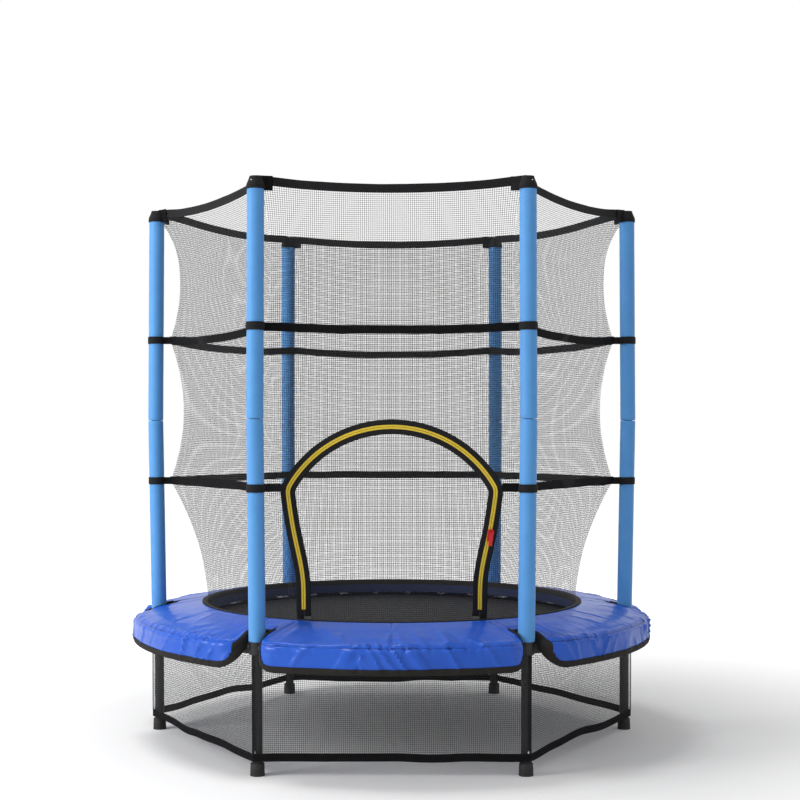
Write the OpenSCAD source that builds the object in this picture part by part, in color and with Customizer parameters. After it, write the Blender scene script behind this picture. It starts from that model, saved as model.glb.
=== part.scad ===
/* [Ring frame] */
// Radius of the circle that the leg and post axes stand on
ring_r = 645; // [600:5:700]
// Height of the rail's axis above the floor
rail_z = 307; // [280:1:340]
// Outside diameter of the rail, leg and post tubes
tube_od = 25; // [22:0.5:28]
// Wall of those tubes
tube_wall = 1.5; // [1:0.1:2.5]

/* [Corner fittings] */
// Wall of the upright collar
collar_wall = 7.5; // [5.5:0.5:9]
// Height of the collar
collar_h = 30; // [26:1:40]
// Wall of the sockets that hold the rail arcs
socket_wall = 3; // [2:0.25:4]
// Length of a socket from the post's axis, along the rail
socket_len = 62; // [50:1:80]

/* [Legs] */
// Wall of the rubber foot
foot_wall = 5.5; // [4:0.5:8]
// Height of the foot
foot_h = 31; // [24:1:40]
// Rubber below the leg's end
foot_base = 4; // [2:0.5:8]
// Height of the leg screw
screw_z = 57; // [45:1:90]
// Diameter of the leg screw's head
screw_head_d = 9; // [7:0.5:12]
// Diameter of the screw's and the cap bolt's shank
shank_d = 5; // [4:0.5:6]

/* [Posts] */
// Height of the joint between lower and upper post
joint_z = 856; // [750:1:950]
// Height of the upper post's end
post_top_z = 1424; // [1300:1:1500]
// How far the net's pull bows the joint outward
post_bow = 8; // [0:0.5:12]
// How far the post's end stands outward of the leg
post_lean = 3; // [0:0.5:6]
// Length of the swaged end that sits in the lower post
swage_len = 50; // [30:1:80]
// Thickness of the foam sleeve
foam_wall = 8; // [6:0.5:12]
// How far the post's end stands out of the foam
post_end = 12; // [8:0.5:16]
// Diameter of the cap bolt's domed head
bolt_head_d = 11; // [9:0.5:14]

/* [Jumping bed] */
// Distance from the posts' circle in to the mat's edge
mat_gap = 105; // [85:5:165]
// Thickness of the mat
mat_t = 1.5; // [1:0.1:3]
// Width of the webbing round the mat's edge
mat_edge_w = 28; // [15:1:40]
// Number of springs
spring_count = 36; // [24:6:48]
// Diameter of a spring's coils
spring_d = 13; // [9:0.5:15]
// Diameter of the spring's wire
spring_wire = 2.5; // [1.5:0.1:3]
// Circumradius of a V-ring
v_ring_r = 11; // [9:0.5:13]

/* [Pad] */
// Distance from the posts' circle in to the opening in the pad
pad_cover = 138; // [125:1:165]
// How far the valance's lower edge stands outside the posts' circle at the middle of a bay
pad_over = 52; // [42:1:75]
// How much farther out the pad reaches beside a post
pad_ear = 14; // [0:1:20]
// Height of the pad's inner edge above the rail's axis
pad_in_rise = 56; // [48:1:73]
// Height of the pad over the rail's axis
pad_rail_rise = 34; // [27:1:43]
// Height of the seam between pad and valance above the rail's axis
seam_rise = 18; // [14:1:23]
// How far the valance hangs below the rail's axis
valance_drop = 45; // [27:1:77]
// Height of the black binding
binding_h = 15; // [12:1:28]
// Half the width of the notch at a post
notch_half_w = 28; // [24:1:34]
// Rise of the lower edge to the notch
notch_rise = 40; // [10:1:45]
// Depth of the sewn channels
channel_d = 3; // [0:0.5:5]

/* [Enclosure] */
// How far the top band's upper edge stands above the posts' ends
band_over = 10; // [4:1:16]
// Height of the top band's webbing
band_h = 24; // [18:1:32]
// Sag of the band at the middle of a bay
band_sag = 18; // [0:1:30]
// Distance from the posts' circle in to the net's corners at the top band
top_gap = 25; // [23:1:45]
// Distance from the posts' circle in to the net's corners at the belts
belt_gap = 33; // [28:1:55]
// How far the corner is drawn in between the top band and the upper belt
draw_top = 32; // [0:1:45]
// How far the corner is drawn in between the belts
draw_mid = 37; // [0:1:45]
// How far the corner is drawn in below the lower belt
draw_low = 20; // [0:1:30]
// Height of the upper belt's middle
upper_belt_z = 1077; // [950:1:1200]
// Height of the lower belt's middle
lower_belt_z = 690; // [620:1:740]
// Height of the belts' webbing
belt_h = 21; // [15:1:30]
// Thickness of webbing
webbing_t = 1.5; // [1:0.1:2.5]
// Thickness of the net
net_t = 1.6; // [1:0.1:2.5]
// Width of the net's strings
string_w = 9; // [5:0.5:12]

/* [Door] */
// Width of the fixed net from a corner to the zip's shoulder, at the lower belt
door_side = 54; // [50:1:80]
// How far each leg of the zip leans in from shoulder to foot
door_taper = 37; // [30:1:60]
// Height of the shoulders
door_shoulder_z = 686; // [640:1:700]
// Height of the zip at the top of the arch
door_top_z = 837; // [800:1:860]
// Width of one half of the zip tape
tape_w = 17.5; // [12:0.5:22]
// Thickness of the tape
tape_t = 1.4; // [1:0.1:2]
// Width of one half of the zip chain
chain_w = 6; // [4:0.5:8]
// Thickness of the chain on its tape
chain_t = 3; // [2.5:0.1:4]
// Height of the slider on the zip
slider_z = 574; // [500:1:620]
// Length of the slider
slider_len = 30; // [22:1:40]
// Width of the slider
slider_w = 15; // [13:0.5:20]
// Thickness of the slider's plate
slider_t = 4; // [3:0.5:6]
// Length of the pull tab below its pin
tab_len = 32; // [24:1:40]
// Width of the pull tab
tab_w = 9; // [8:0.5:10]
// Thickness of the pull tab
tab_t = 2.2; // [1.5:0.1:3]

/* [Leg net] */
// Height of the hem's lower edge
hem_z = 36; // [32:1:60]
// Height of the hem
hem_h = 18; // [12:1:26]

/* [Hidden] */
sides = 6;
front_bay = 5;
step = 360 / sides;
half = step / 2;
$fn = 48;

// Clearances: a sliding fit round a tube, and the gap at which a piece is seated
fit = 0.3;
seat = 0.3;
tube_r = tube_od / 2;
tube_bore_r = tube_r - tube_wall;
fitted_r = tube_r + fit;
foot_od = tube_od + 2 * foot_wall;
collar_od = tube_od + 2 * collar_wall;
socket_od = tube_od + 2 * socket_wall;
foam_od = tube_od + 2 * foam_wall;
collar_low_z = rail_z - collar_h / 2;
collar_top_z = rail_z + collar_h / 2;
foam_top_z = post_top_z - post_end;
tilt_low = atan(post_bow / (joint_z - rail_z));
tilt_up = atan((post_bow - post_lean) / (post_top_z - joint_z));
foam_joint_gap = 0.45;
sleeve_loop_r = foam_od / 2 + fit;
leg_end_gap = 1;
cap_t = 3;
cap_plug = 2;
bolt_z = post_top_z - 5;
dome_h = 4.5;
screw_grip = 8;
cap_bolt_grip = 9;

mat_z = rail_z + 8;
mat_r = ring_r - mat_gap;
rail_in_r = ring_r - tube_r;
v_ring_bar = 3;
v_ring_t = 2.5;
v_ring_at = mat_r + seat + v_ring_r / 2;
spring_from = v_ring_at + v_ring_r + seat;
spring_to = rail_in_r - seat;
hook_len = 9;
spring_z = mat_z + mat_t / 2;

pad_in_r = ring_r - pad_cover;
pad_out_r = ring_r + pad_over;
pad_in_z = rail_z + pad_in_rise;
pad_rail_z = rail_z + pad_rail_rise;
seam_z = rail_z + seam_rise;
valance_z = rail_z - valance_drop;
binding_t = 2.2;
binding_seat = 2;
pad_under_z = rail_z + socket_od / 2 + seat;
spring_clear_z = max(pad_under_z, spring_z + spring_d / 2 + 1.5);
valance_t = 5;

net_foot_r = pad_in_r - binding_seat;
net_belt_r = ring_r - belt_gap;
net_top_r = ring_r - top_gap;
net_foot_z = pad_in_z;
band_top_z = post_top_z + band_over;
net_top_z = band_top_z - band_h - seat;
door_shoulder_x = net_belt_r * sin(half) - door_side;
door_foot_x = door_shoulder_x - door_taper;
band_t = 2.5;
split_z = door_top_z + tape_w + 12;
door_z = net_foot_z + 8;
arch_h = door_top_z - door_shoulder_z;
arch_r = (pow(door_shoulder_x, 2) + pow(arch_h, 2)) / (2 * arch_h);
arch_z = door_top_z - arch_r;
arch_half = asin(door_shoulder_x / arch_r);
zip_gap = 0.4;
leg_net_top_z = collar_low_z - seat;
leg_net_r = ring_r + tube_r + seat / 2 + dome_h + 2;
hem_t = 2.2;

function mix(a, b, t) = a + (b - a) * t;

// ---- frame ----------------------------------------------------------------

// Turns its children to the axis of post i
module at_post(i) { rotate([0, 0, step * (i - 1)]) children(); }

// Turns its children, drawn with +Y outward, to the middle of bay k
module at_bay(k) { rotate([0, 0, step * (k - 1) + half - 90]) children(); }

// Frames of the leaning lower and upper post, with Z along the tube
module lower_axis() { translate([ring_r, 0, rail_z]) rotate([0, tilt_low, 0]) children(); }
module upper_axis() {
    translate([ring_r + post_bow, 0, joint_z]) rotate([0, -tilt_up, 0]) children();
}

module tube(length) {
    difference() {
        cylinder(r = tube_r, h = length);
        translate([0, 0, -1]) cylinder(r = tube_bore_r, h = length + 2);
    }
}

// Part of a round bar bent to the rail's circle, from angle a to angle b
module rail_sweep(r, a, b) {
    translate([0, 0, rail_z]) rotate([0, 0, a])
        rotate_extrude(angle = b - a, $fn = 180) translate([ring_r, 0]) circle(r = r);
}

arc_from = atan((collar_od / 2 + 1) / ring_r);
socket_to = atan(socket_len / ring_r);
module rail_arc(i) {
    color("#26282b") at_post(i) difference() {
        rail_sweep(tube_r, arc_from, step - arc_from);
        rail_sweep(tube_bore_r, arc_from - 1, step - arc_from + 1);
    }
}

module corner_fitting() {
    difference() {
        union() {
            translate([ring_r, 0, collar_low_z]) cylinder(r = collar_od / 2, h = collar_h);
            rail_sweep(socket_od / 2, -socket_to, socket_to);
        }
        translate([ring_r, 0, collar_low_z - 1]) cylinder(r = fitted_r, h = collar_h + 2);
        rail_sweep(fitted_r, arc_from - seat / ring_r, socket_to + 1);
        rail_sweep(fitted_r, -socket_to - 1, seat / ring_r - arc_from);
    }
}
module corner_fittings() { color("#1d1e20") for (i = [1:sides]) at_post(i) corner_fitting(); }

module leg(i) {
    color("#222427") at_post(i) difference() {
        translate([ring_r, 0, foot_base]) tube(rail_z - leg_end_gap - foot_base);
        outward_hole(screw_z);
    }
}

// Hole through the outward wall of an upright tube at height z
module outward_hole(z) {
    translate([ring_r, 0, z]) rotate([0, 90, 0]) cylinder(r = shank_d / 2 + fit, h = tube_od);
}

module foot(i) {
    color("#141414") at_post(i) translate([ring_r, 0, 0]) difference() {
        union() {
            cylinder(r = foot_od / 2, h = foot_h - 2);
            translate([0, 0, foot_h - 2]) cylinder(r1 = foot_od / 2, r2 = foot_od / 2 - 2, h = 2);
        }
        translate([0, 0, foot_base]) cylinder(r = fitted_r, h = foot_h);
    }
}

// Screw with a domed head on a face at the origin, its shank along -X
module dome_screw(head_d, grip) {
    r = head_d / 2;
    rotate([0, 90, 0]) rotate_extrude($fn = 32) polygon([
        [0, -grip], [shank_d / 2, -grip], [shank_d / 2, 0], [r, 0], [r, dome_h * 0.3],
        [r * 0.8, dome_h * 0.7], [r * 0.45, dome_h * 0.93], [0, dome_h]]);
}

module leg_screws() {
    color("silver") for (i = [1:sides]) at_post(i)
        translate([ring_r + tube_r + seat / 2, 0, screw_z]) dome_screw(screw_head_d, screw_grip);
}

// ---- posts ----------------------------------------------------------------

low_len = (joint_z - rail_z) / cos(tilt_low);
up_len = (post_top_z - joint_z) / cos(tilt_up);
module lower_post(i) {
    color("#303338") at_post(i) lower_axis()
        translate([0, 0, leg_end_gap]) tube(low_len - leg_end_gap - seat);
}

module upper_post() {
    difference() {
        union() {
            upper_axis() cylinder(r = tube_r, h = up_len);
            lower_axis() translate([0, 0, low_len - swage_len])
                cylinder(r = tube_bore_r - fit, h = swage_len + 1);
        }
        upper_axis() translate([0, 0, 1]) cylinder(r = tube_bore_r, h = up_len);
        lower_axis() translate([0, 0, low_len - swage_len - 1])
            cylinder(r = tube_bore_r - fit - tube_wall, h = swage_len + 3);
        upper_axis() translate([0, 0, bolt_z - joint_z]) rotate([0, 90, 0])
            cylinder(r = shank_d / 2 + fit, h = tube_od);
    }
}
module upper_posts() { color("#303338") for (i = [1:sides]) at_post(i) upper_post(); }

module sleeve(from, to) {
    translate([0, 0, from]) difference() {
        cylinder(r = foam_od / 2, h = to - from);
        translate([0, 0, -1]) cylinder(r = fitted_r, h = to - from + 2);
    }
}
module foam_lower(i) {
    color("#4f9be0") at_post(i) lower_axis()
        sleeve(collar_top_z - rail_z + seat * 2, low_len - foam_joint_gap);
}
module foam_upper(i) {
    color("#4f9be0") at_post(i) upper_axis() sleeve(foam_joint_gap, foam_top_z - joint_z);
}

module post_caps() {
    plug_r = tube_bore_r - fit;
    color("#1a1a1a") for (i = [1:sides]) at_post(i) upper_axis() translate([0, 0, up_len])
        rotate_extrude() polygon([
            [0, seat / 2 - cap_plug], [plug_r, seat / 2 - cap_plug], [plug_r, seat / 2],
            [tube_r, seat / 2], [tube_r, cap_t - 1], [tube_r - 1, cap_t], [0, cap_t]]);
}

module cap_bolts() {
    color("silver") for (i = [1:sides]) at_post(i) upper_axis()
        translate([fitted_r + webbing_t + seat / 2, 0, bolt_z - joint_z])
        dome_screw(bolt_head_d, cap_bolt_grip);
}

// ---- jumping bed ----------------------------------------------------------

module jump_mat() { color("#16171a") translate([0, 0, mat_z]) cylinder(r = mat_r, h = mat_t, $fn = 180); }

module mat_edge() {
    color("#222222") translate([0, 0, mat_z + mat_t]) difference() {
        cylinder(r = mat_r, h = webbing_t, $fn = 180);
        translate([0, 0, -1]) cylinder(r = mat_r - mat_edge_w, h = webbing_t + 2, $fn = 180);
    }
}

// Turns its children to the line of spring n
module at_spring(n) { rotate([0, 0, 360 / spring_count * (n - 0.5)]) children(); }

module v_rings() {
    color("#b9bcc0") for (n = [1:spring_count]) at_spring(n)
        translate([v_ring_at, 0, spring_z - v_ring_t / 2]) linear_extrude(v_ring_t) difference() {
            circle(r = v_ring_r, $fn = 3);
            circle(r = v_ring_r - v_ring_bar, $fn = 3);
        }
}

module springs() {
    color("#c4c7ca") for (n = [1:spring_count]) at_spring(n)
        translate([spring_from, 0, spring_z]) rotate([0, 90, 0]) {
            cylinder(r = spring_wire / 2, h = spring_to - spring_from, $fn = 16);
            translate([0, 0, hook_len])
                cylinder(r = spring_d / 2, h = spring_to - spring_from - 2 * hook_len, $fn = 24);
        }
}

// ---- pad ------------------------------------------------------------------

notch_deg = atan(notch_half_w / pad_out_r);
notch_r = ring_r - notch_half_w - 4;
// Angles of the pad's cross-sections from a post to the middle of the bay
half_cuts = [notch_deg, notch_deg + 0.7, notch_deg + 2.6, 14, 22.5, half - 1.2];
full_cuts = concat(half_cuts, [half], [for (j = [len(half_cuts) - 1:-1:0]) step - half_cuts[j]]);
function ear(a) = pow((a - half) / half, 2);
function edge_r(a) = pad_out_r + pad_ear * ear(a);
// Lower edge of the valance, raised in a curve beside the notch
function edge_z(a) =
    let (off = min(a, step - a) - notch_deg)
    valance_z + notch_rise * pow(max(0, 1 - off / 2.6), 3);
function channel(a) = channel_d * max(0, 1 - abs(a - half) / 1.2);

// Cross-section of the pad at angle a, [radius, height], from the inner foot over the top
function pad_cut(a, notched) =
    let (
        dip = channel(a),
        out = edge_r(a),
        low = min(edge_z(a) + binding_h, seam_z - 4),
        full = [
            [pad_in_r, pad_under_z + 2], [pad_in_r, pad_in_z - 8], [pad_in_r + 6, pad_in_z - 1],
            [pad_in_r + 32, pad_in_z - 1 - dip], [mix(pad_in_r, ring_r, 0.6), pad_rail_z + 13 - dip],
            [ring_r + 4, pad_rail_z - dip], [out - 17, seam_z + 10], [out - 6, seam_z], [out, low],
            [out - valance_t, low], [out - valance_t - 4, seam_z - 3], [out - 26, pad_under_z],
            [pad_in_r + 24, spring_clear_z]])
    !notched ? full : [for (j = [0:len(full) - 1])
        j < cut_from || j > cut_to ? full[j] :
        [notch_r, mix(pad_rail_z + 4, pad_under_z, (j - cut_from) / (cut_to - cut_from))]];
// Points of the cross-section that the notch cuts off
cut_from = 5;
cut_to = 11;
function around(a, p) = [p[0] * cos(a), p[0] * sin(a), p[1]];

// Closed ring of triangles through equal cross-sections
module ring_of(cuts) {
    rows = len(cuts);
    cols = len(cuts[0]);
    polyhedron(points = [for (c = cuts) each c], faces = [
        for (i = [0:rows - 1], j = [0:cols - 1])
        let (a = i * cols, b = (i + 1) % rows * cols, k = (j + 1) % cols)
        each [[a + j, b + j, b + k], [a + j, b + k, a + k]]]);
}

module frame_pad() {
    cuts = [for (i = [0:sides - 1]) each concat(
        [[notch_deg - 0.25, true]], [for (a = full_cuts) [a, false]], [[step - notch_deg + 0.25, true]])];
    color("#2f63d6") ring_of([for (n = [0:len(cuts) - 1])
        let (turn = step * floor(n / (len(full_cuts) + 2)))
        [for (p = pad_cut(cuts[n][0], cuts[n][1])) around(turn + cuts[n][0], p)]]);
}

// Closed sheet between two grids of points. With mesh, every second cell both ways is a gap.
module sheet(inner, outer, mesh = false) {
    rows = len(inner) - 1;
    cols = len(inner[0]) - 1;
    n = (rows + 1) * (cols + 1);
    function at(i, j) = i * (cols + 1) + j;
    function whole(i, j) = i >= 0 && i < rows && j >= 0 && j < cols && !(mesh && i % 2 == 1 && j % 2 == 1);
    function wall(a, b) = [[a, b, b + n], [a, b + n, a + n]];
    polyhedron(points = concat([for (r = inner) each r], [for (r = outer) each r]), faces = [
        for (i = [0:rows - 1], j = [0:cols - 1]) if (whole(i, j))
        let (a = at(i, j), b = at(i, j + 1), c = at(i + 1, j + 1), d = at(i + 1, j))
        each concat(
            [[a, c, b], [a, d, c], [a + n, b + n, c + n], [a + n, c + n, d + n]],
            whole(i - 1, j) ? [] : wall(a, b),
            whole(i, j + 1) ? [] : wall(b, c),
            whole(i + 1, j) ? [] : wall(c, d),
            whole(i, j - 1) ? [] : wall(d, a))]);
}

// Binding along the valance's lower edge in one bay, and the ring round the opening
module pad_binding() {
    color("#1b1a19") {
        for (i = [1:sides]) at_post(i) {
            // outer and inner face of the folded strip, lower row first
            face = function (off) [for (a = full_cuts) [
                for (z = [edge_z(a), min(edge_z(a) + binding_h, seam_z - 4) - seat])
                around(a, [edge_r(a) + off, z])]];
            sheet(face(-valance_t), face(0));
        }
        translate([0, 0, net_foot_z - seat - binding_h]) difference() {
            cylinder(r = pad_in_r - binding_seat, h = binding_h, $fn = 180);
            translate([0, 0, -1])
                cylinder(r = pad_in_r - binding_seat - binding_t, h = binding_h + 2, $fn = 180);
        }
    }
}

// ---- enclosure net --------------------------------------------------------

// Corner radius between two held heights, drawn in between them
function drawn(z, z0, r0, z1, r1, draw) =
    let (t = (z - z0) / (z1 - z0))
    mix(r0, r1, t) - 4 * draw * t * (1 - t);
function corner_r(z) =
    z < lower_belt_z ? drawn(z, net_foot_z, net_foot_r, lower_belt_z, net_belt_r, draw_low) :
    z < upper_belt_z ? drawn(z, lower_belt_z, net_belt_r, upper_belt_z, net_belt_r, draw_mid) :
    drawn(min(z, net_top_z), upper_belt_z, net_belt_r, net_top_z, net_top_r, draw_top);
// Distance of the net's middle line, which is round on the pad and flat from the belts up
function middle_r(z) =
    z < lower_belt_z ?
        mix(net_foot_r, net_belt_r * cos(half), (z - net_foot_z) / (lower_belt_z - net_foot_z)) :
    z < upper_belt_z ? net_belt_r * cos(half) :
    mix(net_belt_r, net_top_r, (min(z, net_top_z) - upper_belt_z) / (net_top_z - upper_belt_z)) * cos(half);
// Distance of the net from the axis at the offset x from the bay's middle, and height z
function net_y(x, z) =
    let (r = corner_r(z), flat = r * cos(half))
    flat + (middle_r(z) - flat) * (1 - pow(x / (r * sin(half)), 2));
function corner_x(z) = corner_r(z) * sin(half);
// Height of a line that is at z at the posts, where the sag grows from base to the band
function sagged(s, z, base) =
    z - band_sag * (1 - s * s) * (z - base) / (net_top_z - base);

// Grid lines for strings whose middles are at the places given
function string_lines(middles) = [for (m = middles) each [m - string_w / 2, m + string_w / 2]];
// The same for count gaps between a and b
function mesh_lines(a, b, count) =
    string_lines([for (n = [0:count]) mix(a + string_w / 2, b - string_w / 2, n / count)]);

// Moves a point [x, y, z] outward by t
function out(p, t) = [p[0], p[1] + t, p[2]];
module net_panel(grid) {
    sheet(grid, [for (row = grid) [for (p = row) out(p, net_t)]], mesh = true);
}

gaps_across = 4;
// Points of one bay, with strings across at the heights given and the sag growing from base
function bay_grid(levels, base) =
    [for (z = string_lines(levels)) let (w = corner_x(z) - seat / 2)
        [for (x = mesh_lines(-w, w, gaps_across))
        [x, net_y(x, z), sagged(x / w, z, base)]]];
upper_levels = [upper_belt_z, (upper_belt_z + net_top_z) / 2, net_top_z - string_w / 2];
module net_sides() {
    levels = concat([net_foot_z + string_w / 2, (net_foot_z + lower_belt_z) / 2, lower_belt_z,
        (lower_belt_z + upper_belt_z) / 2], upper_levels);
    color("#2b2b2b") for (k = [1:sides]) if (k != front_bay) at_bay(k)
        net_panel(bay_grid(levels, net_foot_z));
}

// ---- front bay: the zip's line, the fixed net round it and the door ---------

// The zip's legs are straight in space, and the tape keeps one slope beside them
leg_run = door_shoulder_z - net_foot_z;
tape_slope = 0.1;
tape_edge = zip_gap + tape_w;
edge_gap = tape_edge + seat;
zip_foot_y = net_y(door_foot_x, net_foot_z);
zip_shoulder_y = net_y(door_shoulder_x, door_shoulder_z);
function zip_x(z) = mix(door_foot_x, door_shoulder_x, (z - net_foot_z) / leg_run);
function zip_y(z) = mix(zip_foot_y, zip_shoulder_y, (z - net_foot_z) / leg_run);
// Distance of the front bay's net from the axis, led through the zip's legs up to the shoulders
function front_y(x, z) =
    let (
        off = abs(x) - zip_x(z),
        m = middle_r(z),
        in_x = zip_x(z) - tape_edge,
        in_y = zip_y(z) + tape_slope * tape_edge,
        out_x = zip_x(z) + tape_edge,
        out_y = zip_y(z) - tape_slope * tape_edge)
    z > door_shoulder_z ? net_y(x, z) :
    off < -tape_edge ? m + (in_y - m) * pow(x / in_x, 2) :
    off < tape_edge ? zip_y(z) - tape_slope * off :
    mix(out_y, corner_r(z) * cos(half), (abs(x) - out_x) / (corner_x(z) - out_x));

// The zip's middle line from the left foot over the arch to the right foot, each point with
// the direction that points away from the door: [x, z, dx, dz]
leg_lean = atan((door_shoulder_x - door_foot_x) / leg_run);
leg_cuts = [0, 0.25, 0.5, 0.75, 0.95];
arch_cuts = 12;
function leg_point(t, side, low) =
    let (z = mix(low, door_shoulder_z, t))
    [side * zip_x(z), z, side * cos(leg_lean), -sin(leg_lean)];
function arch_point(a) = [arch_r * sin(a), arch_z + arch_r * cos(a), sin(a), cos(a)];
// At a shoulder the offset follows both the leg's and the arch's edge
function shoulder_point(side) =
    let (a = 90 - arch_half, m = (a - leg_lean) / 2, k = 1 / cos((a + leg_lean) / 2))
    [side * door_shoulder_x, door_shoulder_z, side * cos(m) * k, sin(m) * k];
function zip_line(low) = concat(
    [for (t = leg_cuts) leg_point(t, -1, low)],
    [shoulder_point(-1)],
    [for (n = [1:arch_cuts - 1]) arch_point(arch_half * (2 * n / arch_cuts - 1))],
    [shoulder_point(1)],
    [for (n = [len(leg_cuts) - 1:-1:0]) leg_point(leg_cuts[n], 1, low)]);
// Point at the distance off from the zip's middle line, in the net's surface
function beside(p, off) =
    let (x = p[0] + off * p[2], z = p[1] + off * p[3])
    [x, front_y(x, z), z];

// One half of the zip, chain and tape in one strip: side 1 lies on the net, side -1 on the door
module zip_half(side, low) {
    offsets = [zip_gap, zip_gap + chain_w, zip_gap + chain_w + 0.6, tape_edge];
    heights = [chain_t, chain_t, tape_t, tape_t];
    order = side > 0 ? [0, 1, 2, 3] : [3, 2, 1, 0];
    line = zip_line(low);
    sheet([for (j = order) [for (p = line) beside(p, side * offsets[j])]],
        [for (j = order) [for (p = line) out(beside(p, side * offsets[j]), heights[j])]]);
}
module zip_half_net() {
    color("#d9b92c") at_bay(front_bay) zip_half(1, net_foot_z + tape_edge * sin(leg_lean));
}
module zip_half_door() { color("#d9b92c") at_bay(front_bay) zip_half(-1, door_z); }

// Fixed strip between the net's corner and the zip's leg
shoulder_out_z = door_shoulder_z + edge_gap * shoulder_point(1)[3];
module front_strip(side) {
    across = [0, 0.3, 0.7, 1];
    net_panel([for (z = mesh_lines(net_foot_z, shoulder_out_z - 1, 3))
        [for (s = side > 0 ? across : [for (n = [3:-1:0]) across[n]])
        let (x = mix(zip_x(z) + edge_gap / cos(leg_lean), corner_x(z), s))
        [side * x, front_y(x, z), z]]]);
}

// Fixed net between the arch and the line above it: row n of 0 at the top to the shoulder
spandrel_cuts = arch_cuts / 2;
function arch_edge(n) =
    let (p = n < spandrel_cuts ? arch_point(arch_half * n / spandrel_cuts) : shoulder_point(1))
    [max(p[0] + edge_gap * p[2], seat / 2), p[1] + edge_gap * p[3]];
function spandrel_rim(n) =
    let (t = 2 * n / spandrel_cuts, z = mix(split_z - seat, shoulder_out_z, t - 1))
    t < 1 ? [max(t * corner_x(split_z), seat / 2), split_z - seat] : [corner_x(z), z];
module spandrel(side) {
    rows = [for (s = [0, 0.3, 0.7, 1]) [for (n = [0:spandrel_cuts])
        let (p = mix(arch_edge(n), spandrel_rim(n), s))
        [side * p[0], front_y(p[0], p[1]), p[1]]]];
    net_panel(side > 0 ? rows : [for (row = rows) [for (n = [spandrel_cuts:-1:0]) row[n]]]);
}

// Strip of webbing on the pad's ring that the door hangs on
module door_sill() {
    x_end = door_foot_x - 0.5;
    rows = [for (z = [net_foot_z, door_z - seat]) [for (n = [-8:8])
        let (x = x_end * n / 8) [x, front_y(x, z), z]]];
    sheet(rows, [for (row = rows) [for (p = row) out(p, webbing_t)]]);
}

module net_front() {
    color("#2b2b2b") at_bay(front_bay) {
        net_panel(bay_grid(concat([split_z + string_w / 2, (split_z + upper_belt_z) / 2],
            upper_levels), split_z));
        for (side = [-1, 1]) {
            front_strip(side);
            spandrel(side);
        }
        door_sill();
    }
}

// Door of net: its rows rise from the flat foot to the arch of the top edge
door_ease = 3.5;
module net_door() {
    inset_r = arch_r - edge_gap - door_ease;
    top_x = door_shoulder_x - edge_gap * shoulder_point(1)[2] - 1;
    foot_x = zip_x(door_z) - edge_gap / cos(leg_lean);
    tall = door_top_z - door_z;
    color("#2b2b2b") at_bay(front_bay) net_panel([for (h = mesh_lines(0, tall, 4))
        [for (across = mesh_lines(-top_x, top_x, 3))
        let (
            s = across / top_x,
            x = s * mix(foot_x, top_x, h / tall),
            rise = arch_z + sqrt(pow(inset_r, 2) - pow(across, 2)),
            z = mix(door_z, rise, h / tall))
        [x, front_y(x, z), z]]]);
}

// Frame of the slider: origin on the chain's face, Z up along the leg, Y outward
leg_pitch = atan((zip_shoulder_y - zip_foot_y) / leg_run);
leg_roll = asin((door_shoulder_x - door_foot_x)
    / norm([door_shoulder_x - door_foot_x, zip_shoulder_y - zip_foot_y, leg_run]));
slider_at = [-zip_x(slider_z), zip_y(slider_z) + chain_t + seat, slider_z];
pin_y = slider_t + 3;
pin_z = slider_len / 2 - 7;
pin_d = 2;
module at_slider() {
    at_bay(front_bay) translate(slider_at) rotate([-leg_pitch, 0, 0]) rotate([0, -leg_roll, 0])
        rotate([0, 0, atan(tape_slope)]) children();
}

module zip_slider() {
    ear_t = 1.6;
    ear_x = tab_w / 2 + fit;
    color("#c8202a") at_slider() {
        translate([0, slider_t, 0]) rotate([90, 0, 0]) linear_extrude(slider_t) intersection() {
            square([slider_w, slider_len], center = true);
            circle(r = slider_len / 2);
        }
        difference() {
            for (x = [-ear_x - ear_t, ear_x])
                translate([x, slider_t - 1, pin_z - 4]) cube([ear_t, pin_y - slider_t + 4, 8]);
            translate([-slider_w, pin_y, pin_z]) rotate([0, 90, 0])
                cylinder(r = pin_d / 2, h = 2 * slider_w);
        }
        translate([-ear_x - ear_t, pin_y, pin_z]) rotate([0, 90, 0])
            cylinder(r = pin_d / 2, h = 2 * (ear_x + ear_t));
    }
}

// Pull tab, hanging straight down from the slider's pin
module pull_tab() {
    eye_r = pin_d / 2 + fit + 1.2;
    color("#c8202a") at_slider() translate([0, pin_y, pin_z]) rotate([tab_swing, 0, 0])
    difference() {
        union() {
            translate([-tab_w / 2, 0, 0]) rotate([0, 90, 0]) cylinder(r = eye_r, h = tab_w);
            translate([-tab_w / 2, -tab_t / 2, -tab_len]) cube([tab_w, tab_t, tab_len]);
        }
        translate([-tab_w, 0, 0]) rotate([0, 90, 0]) cylinder(r = pin_d / 2 + fit, h = 2 * tab_w);
    }
}
tab_swing = leg_pitch;

// ---- webbing --------------------------------------------------------------

// Belts run straight between the net's corners, on the outside of the net
belt_y = net_belt_r * cos(half) + net_t + seat;
belt_w = net_belt_r * sin(half) - seat / 2;
function belt_rows(z) = [z - belt_h / 2, z + belt_h / 2];
// Belt across a bay, sagging with the net above base
module bay_belt(z, base) {
    rows = [for (level = belt_rows(z)) [for (n = [-4:4])
        [belt_w * n / 4, belt_y, sagged(n / 4, level, base)]]];
    sheet(rows, [for (row = rows) [for (p = row) out(p, webbing_t)]]);
}

module top_band() {
    color("#1d1d1f") for (k = [1:sides]) at_bay(k) {
        // the same cuts as the net's, so that both sag on the same line
        w = net_top_r * sin(half) - seat / 2;
        rows = [for (z = [band_top_z - band_h, band_top_z]) [for (x = mesh_lines(-w, w, gaps_across))
            [x, net_top_r * cos(half), z - band_sag * (1 - pow(x / w, 2))]]];
        sheet(rows, [for (row = rows) [for (p = row) out(p, band_t)]]);
    }
}

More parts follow.
